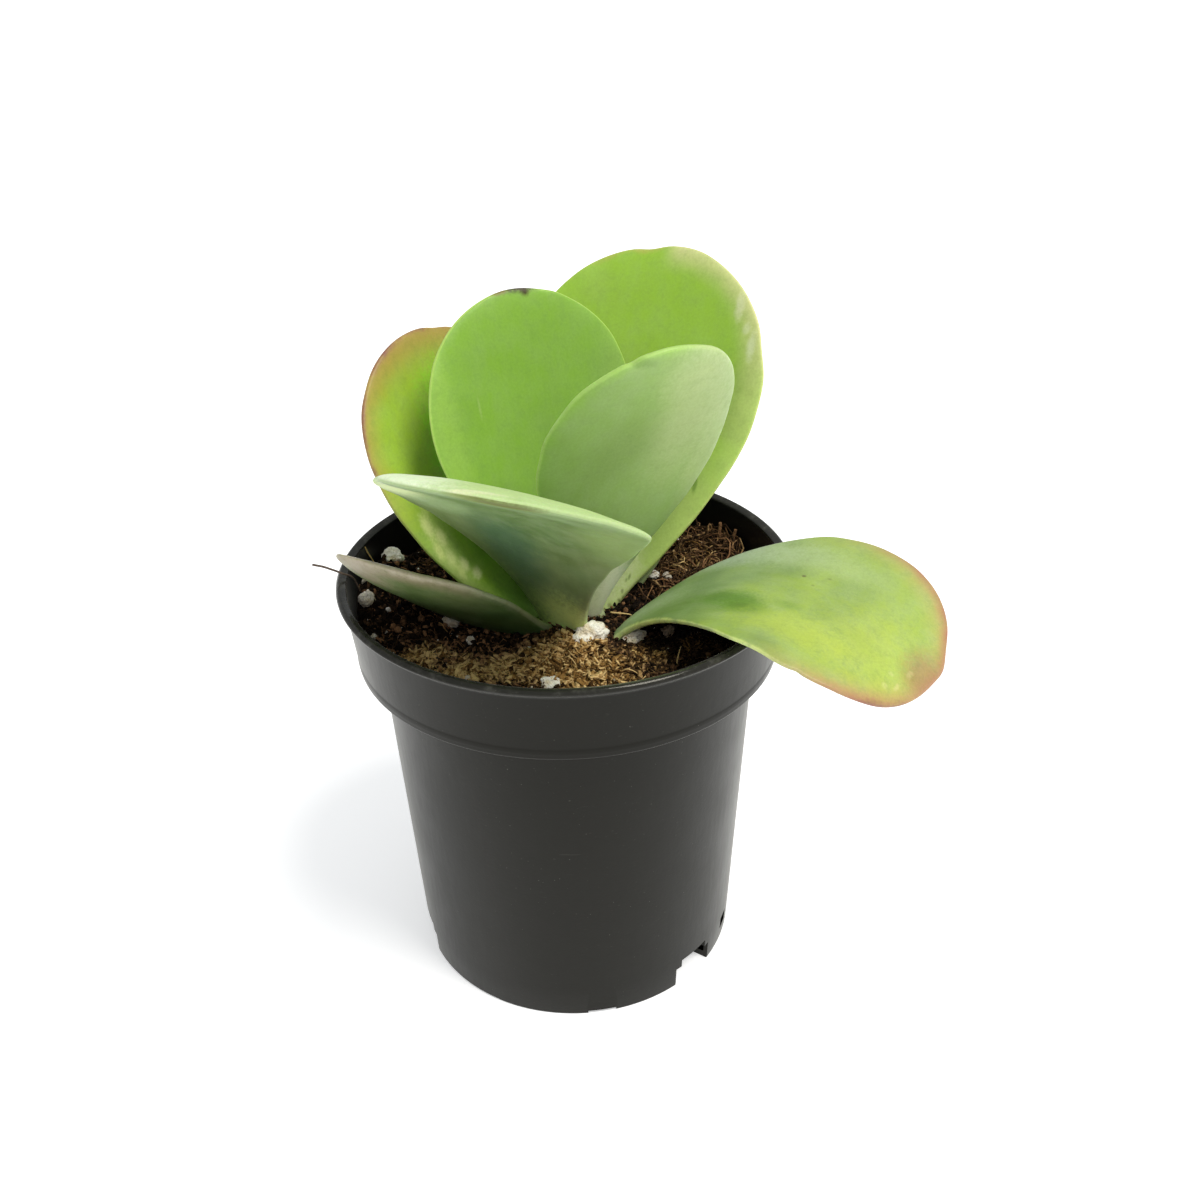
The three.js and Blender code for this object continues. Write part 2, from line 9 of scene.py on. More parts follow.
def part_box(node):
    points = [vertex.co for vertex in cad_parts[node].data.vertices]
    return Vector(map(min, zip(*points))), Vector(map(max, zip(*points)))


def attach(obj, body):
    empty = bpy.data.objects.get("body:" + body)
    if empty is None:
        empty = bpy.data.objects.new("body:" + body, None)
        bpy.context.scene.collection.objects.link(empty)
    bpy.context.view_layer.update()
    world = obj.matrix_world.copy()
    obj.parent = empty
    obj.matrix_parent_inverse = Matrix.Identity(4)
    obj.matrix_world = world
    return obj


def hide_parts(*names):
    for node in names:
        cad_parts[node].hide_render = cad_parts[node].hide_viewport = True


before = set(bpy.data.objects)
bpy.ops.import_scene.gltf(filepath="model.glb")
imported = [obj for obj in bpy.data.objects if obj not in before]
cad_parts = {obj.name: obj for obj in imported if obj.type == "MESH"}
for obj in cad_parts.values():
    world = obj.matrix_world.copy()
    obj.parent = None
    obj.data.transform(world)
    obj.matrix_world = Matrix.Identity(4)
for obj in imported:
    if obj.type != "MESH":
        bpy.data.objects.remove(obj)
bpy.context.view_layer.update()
MM = 0.001

# ---------------------------------------------------------------- camera
# The plant is seen from a little above, as by someone sitting at the table that it stands on. The camera
# looks along +Y and down, held a touch askew.
AIM = Vector((7.71, 0.0, 93.07)) * MM
DISTANCE = 302.8 * MM
PITCH = math.radians(30.3)
ROLL = math.radians(-1.25)

camera = bpy.data.objects.new("camera", bpy.data.cameras.new("camera"))
camera.data.lens = 39.0
camera.data.clip_start = 0.01
eye = AIM + Vector((0, -math.cos(PITCH), math.sin(PITCH))) * DISTANCE
look_down = Matrix.Rotation(math.pi / 2 - PITCH, 4, "X")
camera.matrix_world = Matrix.Translation(eye) @ look_down @ Matrix.Rotation(ROLL, 4, "Z")
bpy.context.scene.collection.objects.link(camera)
bpy.context.scene.camera = camera

# ---------------------------------------------------------------- studio
# A bright tabletop studio: a big soft light high on the front right, and a pale room all round. The plant
# stands on a wide light table, a white sheet that glows a little.
FLOOR_SIZE = 12.0
KEY_FROM = (0.46, -0.30, 1.0)
KEY_SPREAD = 24.0           # degrees
KEY_STRENGTH = 2.3
KEY_COLOUR = (1.0, 0.98, 0.94)
ROOM_COLOUR = (0.95, 0.98, 1.0, 1.0)
ROOM_STRENGTH = 0.62
BOARD_GLOW = 0.42
bpy.context.scene.view_settings.view_transform = "Standard"

lamp = bpy.data.lights.new("key_light", "SUN")
lamp.angle = math.radians(KEY_SPREAD)
lamp.energy = KEY_STRENGTH
lamp.color = KEY_COLOUR
key = bpy.data.objects.new("key_light", lamp)
key.rotation_euler = Vector(KEY_FROM).to_track_quat("Z", "Y").to_euler()
bpy.context.scene.collection.objects.link(key)
room = bpy.data.worlds.new("room")
room.use_nodes = True
room.node_tree.nodes["Background"].inputs["Color"].default_value = ROOM_COLOUR
room.node_tree.nodes["Background"].inputs["Strength"].default_value = ROOM_STRENGTH
bpy.context.scene.world = room


def new_material(name):
    """A material with its Principled shader; gives the material, its node tree and the shader's sockets."""
    material = bpy.data.materials.new(name)
    material.use_nodes = True
    return material, material.node_tree, material.node_tree.nodes["Principled BSDF"].inputs


def new_object(name, vertices, faces, material):
    """A smooth-shaded mesh object from an array of points and lists of corner numbers."""
    mesh = bpy.data.meshes.new(name)
    mesh.from_pydata(vertices, [], faces)
    mesh.polygons.foreach_set("use_smooth", np.ones(len(mesh.polygons), bool))
    mesh.materials.append(material)
    piece = bpy.data.objects.new(name, mesh)
    bpy.context.scene.collection.objects.link(piece)
    return piece


board, _, board_skin = new_material("white_board")
board_skin["Base Color"].default_value = (0.93, 0.93, 0.93, 1)
board_skin["Roughness"].default_value = 0.75
board_skin["Emission Color"].default_value = (1, 1, 1, 1)
board_skin["Emission Strength"].default_value = BOARD_GLOW
half = FLOOR_SIZE / 2
corners = np.array([(-half, -half, 0), (half, -half, 0), (half, half, 0), (-half, half, 0)])
floor = new_object("floor", corners, [(0, 1, 2, 3)], board)

# ---------------------------------------------------------------- pot
# A round nursery pot, injection moulded in black polypropylene: a tapered body, a wider collar to stack and
# grip it by, and a flat lip. Drain notches and shallow gaps are moulded into the bottom edge.
POT_HEIGHT = 103.0
POT_WALL = 1.1
FLOOR_THICKNESS = 1.8
BASE_RADIUS = 39.6
BODY_RING = 9.0            # height of a ring of points low on the body, outside and inside
NECK_RADIUS = 43.9
COLLAR_BOTTOM = 84.0
COLLAR_RADIUS = 49.0
COLLAR_TOP_RADIUS = 50.6
LIP_RADIUS = 52.2
LIP_THICKNESS = 1.6
LIP_DIP = 0.6              # the lip's top falls this much towards the inside
BEAD_HEIGHT = 1.4          # the rounded bead round the collar stands this far over its lower edge
BEAD_RISE = 0.06
POT_EDGE = 0.45            # rounding of the moulded edges
LIP_FLARE = 0.9            # the collar flares into the lip over this height
LIP_BEVEL = 0.8            # slope on the lip's outer edge
POT_SIDES = 240
SHARP_ANGLE = 35           # faces that meet at more than this, in degrees, keep a sharp edge
NOTCH_ANGLES = (-43, 77, 197)
NOTCH_SPREAD = 18
NOTCH_HEIGHT = 7.8
NOTCH_DEPTH = 8.0
NOTCH_SHOULDER = 0.72      # a notch's top is stepped in to this share of its height and spread
SLOT_DEPTH = 2.5
FOOT_RING_WIDTH = 5.0
CUT_REACH = 3              # a cutter stands this far out of the base's edge
CUT_STEPS = 7
# Cuts in the bottom edge: directions in degrees, spread in degrees, depth, lowest and highest height.
POT_CUTS = [
    (NOTCH_ANGLES, NOTCH_SPREAD, NOTCH_DEPTH, -1.0, NOTCH_HEIGHT * NOTCH_SHOULDER),
    (NOTCH_ANGLES, NOTCH_SPREAD * NOTCH_SHOULDER, NOTCH_DEPTH, 0.4, NOTCH_HEIGHT),
    ((-20, 160), 6, SLOT_DEPTH, 3.6, 7.0),
    ((-81, 39, 159), 10, FOOT_RING_WIDTH, -1.0, 0.9),
    ((-134, -14, 106), 30, FOOT_RING_WIDTH, -1.0, 0.4),
]


def skin(rings):
    """Points and faces of a closed skin over an array of rings: each ring is joined to the next by four-sided
    faces, and each end is closed by a fan round the middle of its ring. Faces point outwards where the
    rings turn clockwise for someone who looks from the last ring back to the first."""
    count, around = rings.shape[:2]
    points = np.concatenate([rings.reshape(-1, 3), rings[[0, -1]].mean(1)])
    at = np.arange(count * around).reshape(count, around)
    after = np.roll(at, -1, 1)
    sides = np.stack([at[:-1], at[1:], after[1:], after[:-1]], -1).reshape(-1, 4)
    start = np.stack([np.full(around, len(points) - 2), at[0], after[0]], -1)
    end = np.stack([np.full(around, len(points) - 1), after[-1], at[-1]], -1)
    return points, sides.tolist() + start.tolist() + end.tolist()


def turned(profile, sides):
    """Rings round the Z axis, one for each radius and height of the profile."""
    angles = -2 * np.pi * np.arange(sides) / sides
    radius, height = profile[:, 0, None], profile[:, 1, None]
    return np.stack([radius * np.cos(angles), radius * np.sin(angles), height + 0 * angles], -1)


def rounded(corners, radius, steps=5):
    """A profile whose corners are replaced by short parabolas: each starts and ends a radius away from its
    corner, or halfway to the next corner where that is nearer."""
    before, at, after = corners[:-2], corners[1:-1], corners[2:]

    def towards(other):
        length = np.linalg.norm(other - at, axis=1, keepdims=True)
        return at + (other - at) * np.minimum(radius / length, 0.5)

    t = np.linspace(0, 1, steps)[None, :, None]
    start, end = towards(before)[:, None], towards(after)[:, None]
    arcs = (1 - t) ** 2 * start + 2 * t * (1 - t) * at[:, None] + t**2 * end
    return np.vstack([corners[:1], arcs.reshape(-1, 2), corners[-1:]])


def inner_radius(z):
    """Radius of the pot's inner wall: the body's cone, and above the ledge the collar's wider cone."""
    body = BASE_RADIUS - POT_WALL + (NECK_RADIUS - BASE_RADIUS) * z / COLLAR_BOTTOM
    share = (z - COLLAR_BOTTOM) / (POT_HEIGHT - COLLAR_BOTTOM)
    collar = COLLAR_RADIUS - POT_WALL + (COLLAR_TOP_RADIUS - COLLAR_RADIUS) * share
    return np.where(z < COLLAR_BOTTOM + POT_WALL, body, collar)


def ring_block(angle, spread, depth, low, high):
    """Points and faces of a block bent round the axis, from inside the base's edge to beyond it."""
    turn = np.radians(angle + spread * np.linspace(-0.5, 0.5, CUT_STEPS))[:, None]
    inner, outer = BASE_RADIUS - depth, BASE_RADIUS + CUT_REACH
    radius = np.array([inner, outer, outer, inner])
    height = np.array([low, low, high, high]) + 0 * turn
    return skin(np.stack([radius * np.cos(turn), radius * np.sin(turn), height], -1) * MM)


lip_underside = POT_HEIGHT - LIP_THICKNESS
ledge = COLLAR_BOTTOM + POT_WALL
body_low = BASE_RADIUS + (NECK_RADIUS - BASE_RADIUS) * BODY_RING / COLLAR_BOTTOM
bead = np.array([(0.0, -0.75), (0.8, -0.45), (1.0, 0.0), (0.8, 0.45), (0.0, 0.75)])
bead = bead * (BEAD_RISE, 1.0) + (COLLAR_RADIUS + 0.12, COLLAR_BOTTOM + BEAD_HEIGHT + 0.5)
pot_profile = np.array([
    (0, 0),
    (BASE_RADIUS, 0),
    (body_low, BODY_RING),
    (NECK_RADIUS, COLLAR_BOTTOM),
    (COLLAR_RADIUS, COLLAR_BOTTOM),
    *bead,
    (COLLAR_TOP_RADIUS, lip_underside - LIP_FLARE),
    (LIP_RADIUS - 0.2, lip_underside + 0.3),
    (LIP_RADIUS, POT_HEIGHT - LIP_BEVEL),
    (LIP_RADIUS - LIP_BEVEL, POT_HEIGHT),
    (inner_radius(POT_HEIGHT) + LIP_DIP / 2, POT_HEIGHT - LIP_DIP),
    (inner_radius(ledge), ledge),
    (inner_radius(COLLAR_BOTTOM), ledge),
    (inner_radius(BODY_RING), BODY_RING),
    (inner_radius(FLOOR_THICKNESS), FLOOR_THICKNESS),
    (0, FLOOR_THICKNESS),
])


def add(tree, kind, sockets={}, **options):
    """Adds one shader node and gives its outputs. A socket, by name or number, is linked where it is given
    another node's output, and is otherwise set to the value."""
    made = tree.nodes.new("ShaderNode" + kind)
    for option, value in options.items():
        setattr(made, option, value)
    for socket, value in sockets.items():
        if isinstance(value, bpy.types.NodeSocket):
            tree.links.new(value, made.inputs[socket])
        else:
            made.inputs[socket].default_value = value
    return made.outputs


def noise(tree, place, scale, detail=3.0, roughness=0.55):
    """Soft fractal noise from 0 to 1, with its lumps one over scale metres apart."""
    sockets = {"Vector": place, "Scale": scale, "Detail": detail, "Roughness": roughness}
    return add(tree, "TexNoise", sockets)[0]


def rise(tree, value, low, high, bottom=0.0, top=1.0):
    """A smooth step: bottom up to low, top from high on."""
    sockets = {0: value, 1: low, 2: high, 3: bottom, 4: top}
    return add(tree, "MapRange", sockets, interpolation_type="SMOOTHSTEP")[0]


def maths(tree, operation, first, second):
    """One arithmetic step between two values."""
    return add(tree, "Math", {0: first, 1: second}, operation=operation)[0]


def blend_colour(tree, share, first, second, mode="MIX"):
    """The first colour, with a share of the second mixed in."""
    return add(tree, "Mix", {0: share, 6: first, 7: second}, data_type="RGBA", blend_type=mode)[2]


def tint(red, green, blue):
    """A colour as it looks on a screen, 0 to 255, turned into the linear one that shaders use."""
    return (*(np.array([red, green, blue]) / 255) ** 2.2, 1.0)


def bump(tree, height, distance, strength=1.0, under=None):
    """A bump normal from a height field, over another bump where one is given."""
    sockets = {"Height": height, "Distance": distance, "Strength": strength}
    if under is not None:
        sockets["Normal"] = under
    return add(tree, "Bump", sockets)[0]


plastic, tree, shader = new_material("black_plastic")
place = add(tree, "TexCoord")["Object"]
clouds = noise(tree, place, 60, 4)
grain = noise(tree, place, 1500, 2)
streaked = add(tree, "Mapping", {"Vector": place, "Scale": (1, 1, 0.12)})[0]
streaks = noise(tree, streaked, 900, 3)
specks = rise(tree, noise(tree, place, 2100, 1), 0.77, 0.82)
scratched = add(tree, "Mapping", {"Vector": place, "Rotation": (0.3, 0.5, 0.2), "Scale": (0.05, 1, 1)})[0]
scratches = rise(tree, noise(tree, scratched, 2600, 1), 0.74, 0.80)
wear_and_lip_highlight = maths(tree, "MAXIMUM", maths(tree, "MULTIPLY", specks, 0.4), maths(tree, "MULTIPLY", scratches, 0.08))
height = add(tree, "SeparateXYZ", {0: place})["Z"]
# Patches on the lip's outer edge are lightened: partly rubbed wear, partly a painted highlight.
at_lip = rise(tree, height, (POT_HEIGHT - 1.3) * MM, (POT_HEIGHT - 0.6) * MM)
lip_wear_and_painted_highlight = maths(tree, "MULTIPLY", at_lip, rise(tree, noise(tree, place, 300, 5, 0.7), 0.46, 0.72, 0.10, 0.30))
wear_and_lip_highlight = maths(tree, "MAXIMUM", wear_and_lip_highlight, lip_wear_and_painted_highlight)
colour = blend_colour(tree, clouds, tint(8, 8, 5), tint(15, 15, 11))
tree.links.new(blend_colour(tree, wear_and_lip_highlight, colour, tint(120, 118, 110)), shader["Base Color"])
dull = rise(tree, maths(tree, "ADD", streaks, clouds), 0.7, 1.3, 0.33, 0.39)
tree.links.new(maths(tree, "SUBTRACT", dull, maths(tree, "MULTIPLY", at_lip, 0.24)), shader["Roughness"])
shader["Specular IOR Level"].default_value = 0.2
shader["Specular Tint"].default_value = tint(255, 252, 240)
shader["Sheen Weight"].default_value = 0.3
shader["Sheen Roughness"].default_value = 0.25
shader["Sheen Tint"].default_value = tint(255, 252, 240)
orange_peel = bump(tree, clouds, 0.00025, 0.35)
tree.links.new(bump(tree, grain, 0.00003, 0.4, orange_peel), shader["Normal"])

points, faces = skin(turned(rounded(pot_profile, POT_EDGE)[::-1], POT_SIDES) * MM)
pot = new_object("nursery_pot", points, faces, plastic)
cutters = []
for angles, *cut in POT_CUTS:
    for angle in angles:
        cutter = new_object("cutter", *ring_block(angle, *cut), plastic)
        notch = pot.modifiers.new("notch", "BOOLEAN")
        notch.operation = "DIFFERENCE"
        notch.object = cutter
        cutters.append(cutter)
whole = pot.evaluated_get(bpy.context.evaluated_depsgraph_get())
pot_mesh = bpy.data.meshes.new_from_object(whole)
pot.modifiers.clear()
pot.data = pot_mesh
pot_mesh.set_sharp_from_angle(angle=math.radians(SHARP_ANGLE))
for cutter in cutters:
    bpy.data.objects.remove(cutter)
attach(pot, "root")
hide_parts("pot")

# ---------------------------------------------------------------- potting mix
# Coir and peat fill the pot to a finger's breadth under the lip, heaped along the left wall, at the back
# right and round the stem. The mix is loose on top: a dark bed, with crumbs of peat, chips of coir pith and
# coir fibres lying on and through each other.
SOIL_LEVEL = 91.6
SOIL_CLEARANCE = 0.45
FRONT_RISE = 0.9            # the mix is pressed up against the wall in front
# Heaps: where, how high, how wide. The hollow has a negative height.
HEAPS = np.array([
    (-46, 5, 4.4, 9),
    (-48, -2, 2.2, 6),
    (-43, 15, 2.0, 5),
    (38, 26, 2.8, 8),
    (0, -18, 1.4, 9),
    (0, -14.5, 1.8, 5),
    (14, 8, 2.2, 4.5),
    (-22, -4, -0.9, 10),
])
# Where light coir lies on top: place, size and lightness of each patch.
COIR_PATCHES = np.array([
    (-31, -21, 4.0, 1.0),
    (-22, -29, 4.5, 0.8),
    (-13, -27, 3.8, 1.0),
    (-1, -26, 7.5, 1.0),
    (6, -32, 7, 1.0),
    (4, -21, 4.5, 0.7),
    (17, -24, 5, 0.55),
    (27, -18, 3, 0.5),
    (30, 18, 9, 0.42),
])
PAINTED_SHADOW_PATCH = (27.0, -13.0, 8.0)   # painted shadow under the low right leaf: place and size
PAINTED_LIGHT_PATCH = (-22.0, -26.0, 9.0)   # painted pool of light on the mix in front: place and size
PATCH_CHANGE = 0.75         # share by which these two darken and lighten the mix
BED_TONE, COIR_TONE = 0.16, 0.20
BED_RINGS = 110
BED_SIDES = 300
CRUMBS = 7600
CHIPS = 9800
CHIP_STATIONS = 3
CHIP_SIDES = 4
CHIPS_IN_COIR = 0.72        # share of the chips that lies in the patches of light coir
FIBRES = 3100
FIBRE_STEPS = 8
FIBRE_SIDES = 3
NEST_SHARE = 0.15           # share of the fibres that lies in the heap at the back right
NEST = (30.0, 18.0, 12.0)
STALKS = [((37.5, 24.5), (0.4, 0.6), 5.2), ((40.0, 22.0), (1.4, 0.6), 4.6)]
STRAW_STEPS = 10
STRAW_SIDES = 6
# Single straws that stand out of the rest: first end, middle and last end, radius, tone.
STRAWS = [
    ((-48.1, 13.0, 101.5), (-47.3, 13.4, 99.2), (-46.0, 14.0, 95.8), 0.26, 1.1),
    ((10.0, -8.3, 94.6), (12.3, -8.8, 94.7), (14.8, -8.9, 94.1), 0.2, 1.15),
    ((-12.7, -32.5, 92.2), (-11.8, -33.6, 93.4), (-10.3, -34.9, 92.3), 0.30, 1.0),
    ((-0.2, -24.9, 93.0), (1.0, -26.4, 94.4), (2.5, -28.0, 92.4), 0.17, 1.0),
    ((24.0, -26.0, 91.6), (24.5, -24.6, 93.6), (25.1, -23.0, 94.4), 0.15, 0.9),
    ((-29.5, -6.0, 91.2), (-28.6, -8.2, 92.6), (-27.2, -9.4, 91.0), 0.14, 0.62),
    ((-16.5, -19.0, 91.0), (-14.6, -20.2, 92.3), (-12.6, -20.0, 91.2), 0.14, 0.7),
    ((12.0, -28.5, 91.8), (13.8, -29.8, 93.2), (16.0, -30.0, 91.6), 0.18, 0.95),
    ((33.0, 9.0, 91.4), (36.0, 11.5, 93.8), (39.5, 12.5, 91.8), 0.18, 0.8),
]
LATTICE_NUMBERS = 4096
LATTICE_KEYS = (73856093, 19349663, 83492791)


def lattice_noise(points, pitch, seed):
    """Value noise: random numbers on a cubic lattice of the given pitch, blended by smooth steps between the
    eight corners round each point. The result lies between -1 and 1."""
    table = np.random.default_rng(seed).uniform(-1, 1, LATTICE_NUMBERS)
    cell = np.floor(points / pitch).astype(np.int64)
    share = points / pitch - cell
    share = share * share * (3 - 2 * share)
    total = 0.0
    for corner in np.ndindex(2, 2, 2):
        key = (cell + corner) * LATTICE_KEYS
        picked = table[(key[..., 0] ^ key[..., 1] ^ key[..., 2]) % LATTICE_NUMBERS]
        total = total + picked * np.prod(np.where(corner, share, 1 - share), axis=-1)
    return total


def bell(x, y, middle_x, middle_y, size):
    """A bell-shaped share: 1 in the middle, falling off by the square of the distance over the size."""
    return np.exp(-((x - middle_x) ** 2 + (y - middle_y) ** 2) / (2 * size**2))


def soil_height(x, y):
    """Height of the bed: level, with three fine waves, a bell-shaped heap at each of HEAPS and a rise against
    the wall in front."""
    waves = 0.35 * np.sin(0.55 * x + 1.1) * np.cos(0.48 * y - 0.4)
    waves = waves + 0.22 * np.sin(1.1 * x - 0.9 * y + 2) + 0.15 * np.sin(1.7 * y + 0.8 * x)
    for heap_x, heap_y, height, spread in HEAPS:
        waves = waves + height * bell(x, y, heap_x, heap_y, spread)
    at_wall = np.exp(-((np.hypot(x, y) - 48) ** 2) / 24) * np.clip(-y / 44, 0, 1)
    return SOIL_LEVEL + waves + FRONT_RISE * at_wall


def lumpy_height(x, y):
    """Height of the loose surface: the bed, with lumps of four sizes on it."""
    flat = np.stack([x, y, 0 * x], -1)
    lumps = 0.55 * lattice_noise(flat, 5.0, 1) + 0.40 * lattice_noise(flat, 2.2, 2)
    lumpy = soil_height(x, y) + lumps + 0.30 * lattice_noise(flat, 0.9, 3)
    return lumpy + 0.15 * lattice_noise(flat, 0.45, 4)


def coir_share(x, y):
    """How much of the surface is light coir: a patch's lightness in its middle, falling off as a bell, and
    frayed by noise."""
    near = [light * bell(x, y, *patch) for *patch, light in COIR_PATCHES]
    frayed = 0.22 * lattice_noise(np.stack([x, y, 0 * x], -1), 2.6, 12)
    return np.clip(np.max(near, axis=0) + frayed, 0, 1)


def mark(piece, name, values):
    """Stores one number for each point of a mesh."""
    piece.data.attributes.new(name, "FLOAT", "POINT").data.foreach_set("value", np.ravel(values))


mix_material, tree, shader = new_material("potting_mix")
place = add(tree, "TexCoord")["Object"]
coir = add(tree, "Attribute", attribute_name="coir")["Fac"]
tone = add(tree, "Attribute", attribute_name="tone")["Fac"]
mottle = noise(tree, place, 900, 4, 0.65)
mixed_tone = maths(tree, "ADD", tone, rise(tree, mottle, 0.3, 0.7, -0.14, 0.14))
damp_peat = blend_colour(tree, rise(tree, mixed_tone, 0.1, 0.6), tint(24, 18, 12), tint(70, 52, 36))
peat = blend_colour(tree, rise(tree, mixed_tone, 0.6, 1.05), damp_peat, tint(150, 110, 78))
damp_coir = blend_colour(tree, rise(tree, mixed_tone, 0.1, 0.55), tint(60, 42, 22), tint(154, 116, 66))
pale_coir = blend_colour(tree, rise(tree, mixed_tone, 0.5, 1.0), damp_coir, tint(228, 194, 134))
share = rise(tree, maths(tree, "ADD", coir, rise(tree, mottle, 0.3, 0.7, -0.15, 0.15)), 0.25, 0.7)
tree.links.new(blend_colour(tree, share, peat, pale_coir), shader["Base Color"])
shader["Roughness"].default_value = 0.95
shader["Specular IOR Level"].default_value = 0.15
fuzz = bump(tree, mottle, 0.0006, 0.8)
tree.links.new(bump(tree, noise(tree, place, 4200, 2), 0.0002, 0.6, fuzz), shader["Normal"])


def finish_litter(piece, x, y, tone_values):
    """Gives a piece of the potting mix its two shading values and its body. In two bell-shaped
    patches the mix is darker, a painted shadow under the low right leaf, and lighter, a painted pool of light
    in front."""
    # The first bell is a painted shadow, the second a painted pool of light.
    shadowed, dry = bell(x, y, *PAINTED_SHADOW_PATCH), bell(x, y, *PAINTED_LIGHT_PATCH)
    mark(piece, "coir", coir_share(x, y))
    mark(piece, "tone", tone_values * (1 - PATCH_CHANGE * shadowed + PATCH_CHANGE * dry))
    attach(piece, "root")


rim = float(inner_radius(SOIL_LEVEL)) - SOIL_CLEARANCE
spokes = 2 * np.pi * np.arange(BED_SIDES) / BED_SIDES
radii = rim * np.sqrt(np.linspace(0.00002, 1, BED_RINGS))[:, None]
bed_x, bed_y = radii * np.cos(spokes), radii * np.sin(spokes)
bed_top = np.stack([bed_x, bed_y, lumpy_height(bed_x, bed_y)], -1)
over_ledge = ledge + 0.4
sunk_profile = np.array([
    (float(inner_radius(over_ledge)) - SOIL_CLEARANCE, over_ledge),
    (float(inner_radius(COLLAR_BOTTOM)) - SOIL_CLEARANCE, over_ledge),
    (float(inner_radius(12)) - SOIL_CLEARANCE, 12),
    (BASE_RADIUS - 14, FLOOR_THICKNESS + 0.3),
])
sunk = turned(sunk_profile, BED_SIDES) * (1, -1, 1)
rings = np.concatenate([bed_top, sunk]) * MM
points, faces = skin(rings)
bed = new_object("potting_mix_bed", points, faces, mix_material)
x, y, z = points.T / MM
finish_litter(bed, x, y, np.where(z > ledge + 1, BED_TONE + COIR_TONE * coir_share(x, y), 0.0))
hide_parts("soil")


def spread_over_soil(random, count, reach):
    """Random places, even over the disc of the given radius."""
    radius = reach * np.sqrt(random.uniform(0, 1, count))
    angle = random.uniform(0, 2 * np.pi, count)
    return radius * np.cos(angle), radius * np.sin(angle)


def twisted(random, count):
    """Random rotation matrices, from the polar part of random numbers."""
    left, _, right = np.linalg.svd(random.normal(size=(count, 3, 3)))
    turn = left @ right
    return turn * np.sign(np.linalg.det(turn))[:, None, None]


def copies(name, shapes, pattern, material):
    """Many small meshes with the same pattern of faces, joined in one object."""
    count, each = shapes.shape[:2]
    numbers = pattern[None] + each * np.arange(count)[:, None, None]
    faces = numbers.reshape(-1, pattern.shape[1]).tolist()
    return new_object(name, shapes.reshape(-1, 3) * MM, faces, material)


# A crumb is a twenty-faced ball, squashed by its own random amounts, with its corners pushed in and out.
random = np.random.default_rng(7)
golden = (1 + math.sqrt(5)) / 2
ball = np.array([
    (-1, golden, 0), (1, golden, 0), (-1, -golden, 0), (1, -golden, 0),
    (0, -1, golden), (0, 1, golden), (0, -1, -golden), (0, 1, -golden),
    (golden, 0, -1), (golden, 0, 1), (-golden, 0, -1), (-golden, 0, 1),
]) / math.hypot(1, golden)
ball_faces = np.array([
    (0, 11, 5), (0, 5, 1), (0, 1, 7), (0, 7, 10), (0, 10, 11), (1, 5, 9), (5, 11, 4), (11, 10, 2), (10, 7, 6),
    (7, 1, 8), (3, 9, 4), (3, 4, 2), (3, 2, 6), (3, 6, 8), (3, 8, 9), (4, 9, 5), (2, 4, 11), (6, 2, 10),
    (8, 6, 7), (9, 8, 1),
])
corners = len(ball)
crumb_x, crumb_y = spread_over_soil(random, CRUMBS, rim - 1.0)
crumb_size = 0.22 + 0.85 * random.uniform(0, 1, CRUMBS) ** 3
stretch = random.uniform(0.45, 1.25, (CRUMBS, 1, 3))
knobbly = ball * random.uniform(0.75, 1.15, (CRUMBS, corners, 1)) * stretch * crumb_size[:, None, None]
crumb_z = lumpy_height(crumb_x, crumb_y) + crumb_size * random.uniform(0.1, 0.7, CRUMBS)
crumbs = knobbly @ twisted(random, CRUMBS) + np.stack([crumb_x, crumb_y, crumb_z], -1)[:, None]
crumb_piece = copies("potting_mix_crumbs", crumbs, ball_faces, mix_material)
crumb_tone = np.repeat(random.uniform(0, 1, CRUMBS) ** 1.6, corners)
finish_litter(crumb_piece, np.repeat(crumb_x, corners), np.repeat(crumb_y, corners), crumb_tone)


def tube_faces(stations, sides):
    """Faces over a grid of points, stations long and sides round: four-sided ones along it, and one across
    each end."""
    at = np.arange(stations * sides).reshape(stations, sides)
    after = np.roll(at, -1, 1)
    walls = np.stack([at[:-1], at[1:], after[1:], after[:-1]], -1).reshape(-1, 4)
    return walls.tolist() + [at[0].tolist(), at[-1, ::-1].tolist()]


# A chip of pith is a thin four-sided strip with a bend in its middle. It lies any way round, a little tilted.
in_coir = random.uniform(0, 1, CHIPS) < CHIPS_IN_COIR
patch = COIR_PATCHES[random.integers(0, len(COIR_PATCHES), CHIPS)]
chip_x, chip_y = spread_over_soil(random, CHIPS, rim - 1.0)
chip_x = np.where(in_coir, patch[:, 0] + 1.1 * patch[:, 2] * random.normal(size=CHIPS), chip_x)
chip_y = np.where(in_coir, patch[:, 1] + 1.1 * patch[:, 2] * random.normal(size=CHIPS), chip_y)
held = np.maximum(np.hypot(chip_x, chip_y) / (rim - 1.2), 1)
chip_x, chip_y = chip_x / held**2, chip_y / held**2
chip_long = 0.28 + 1.35 * random.uniform(0, 1, CHIPS) ** 3
chip_wide = chip_long * random.uniform(0.14, 0.42, CHIPS)
chip_thick = random.uniform(0.06, 0.16, CHIPS)
along = np.linspace(-1, 1, CHIP_STATIONS)
corner_x = along[:, None] * np.ones(CHIP_SIDES)
corner_y = (1 - 0.45 * along[:, None] ** 2) * np.array([-1, 1, 1, -1])
corner_z = np.array([-1, -1, 1, 1]) + 0 * corner_x
strip = np.stack([corner_x, corner_y, corner_z], -1).reshape(1, -1, 3)
strip = strip * np.stack([chip_long, chip_wide, chip_thick], -1)[:, None]
strip[..., 2] += random.normal(0, 0.22, (CHIPS, 1)) * (strip[..., 0] ** 2) / chip_long[:, None]
each = CHIP_STATIONS * CHIP_SIDES
strip[..., :2] *= random.uniform(0.8, 1.2, (CHIPS, each, 1))
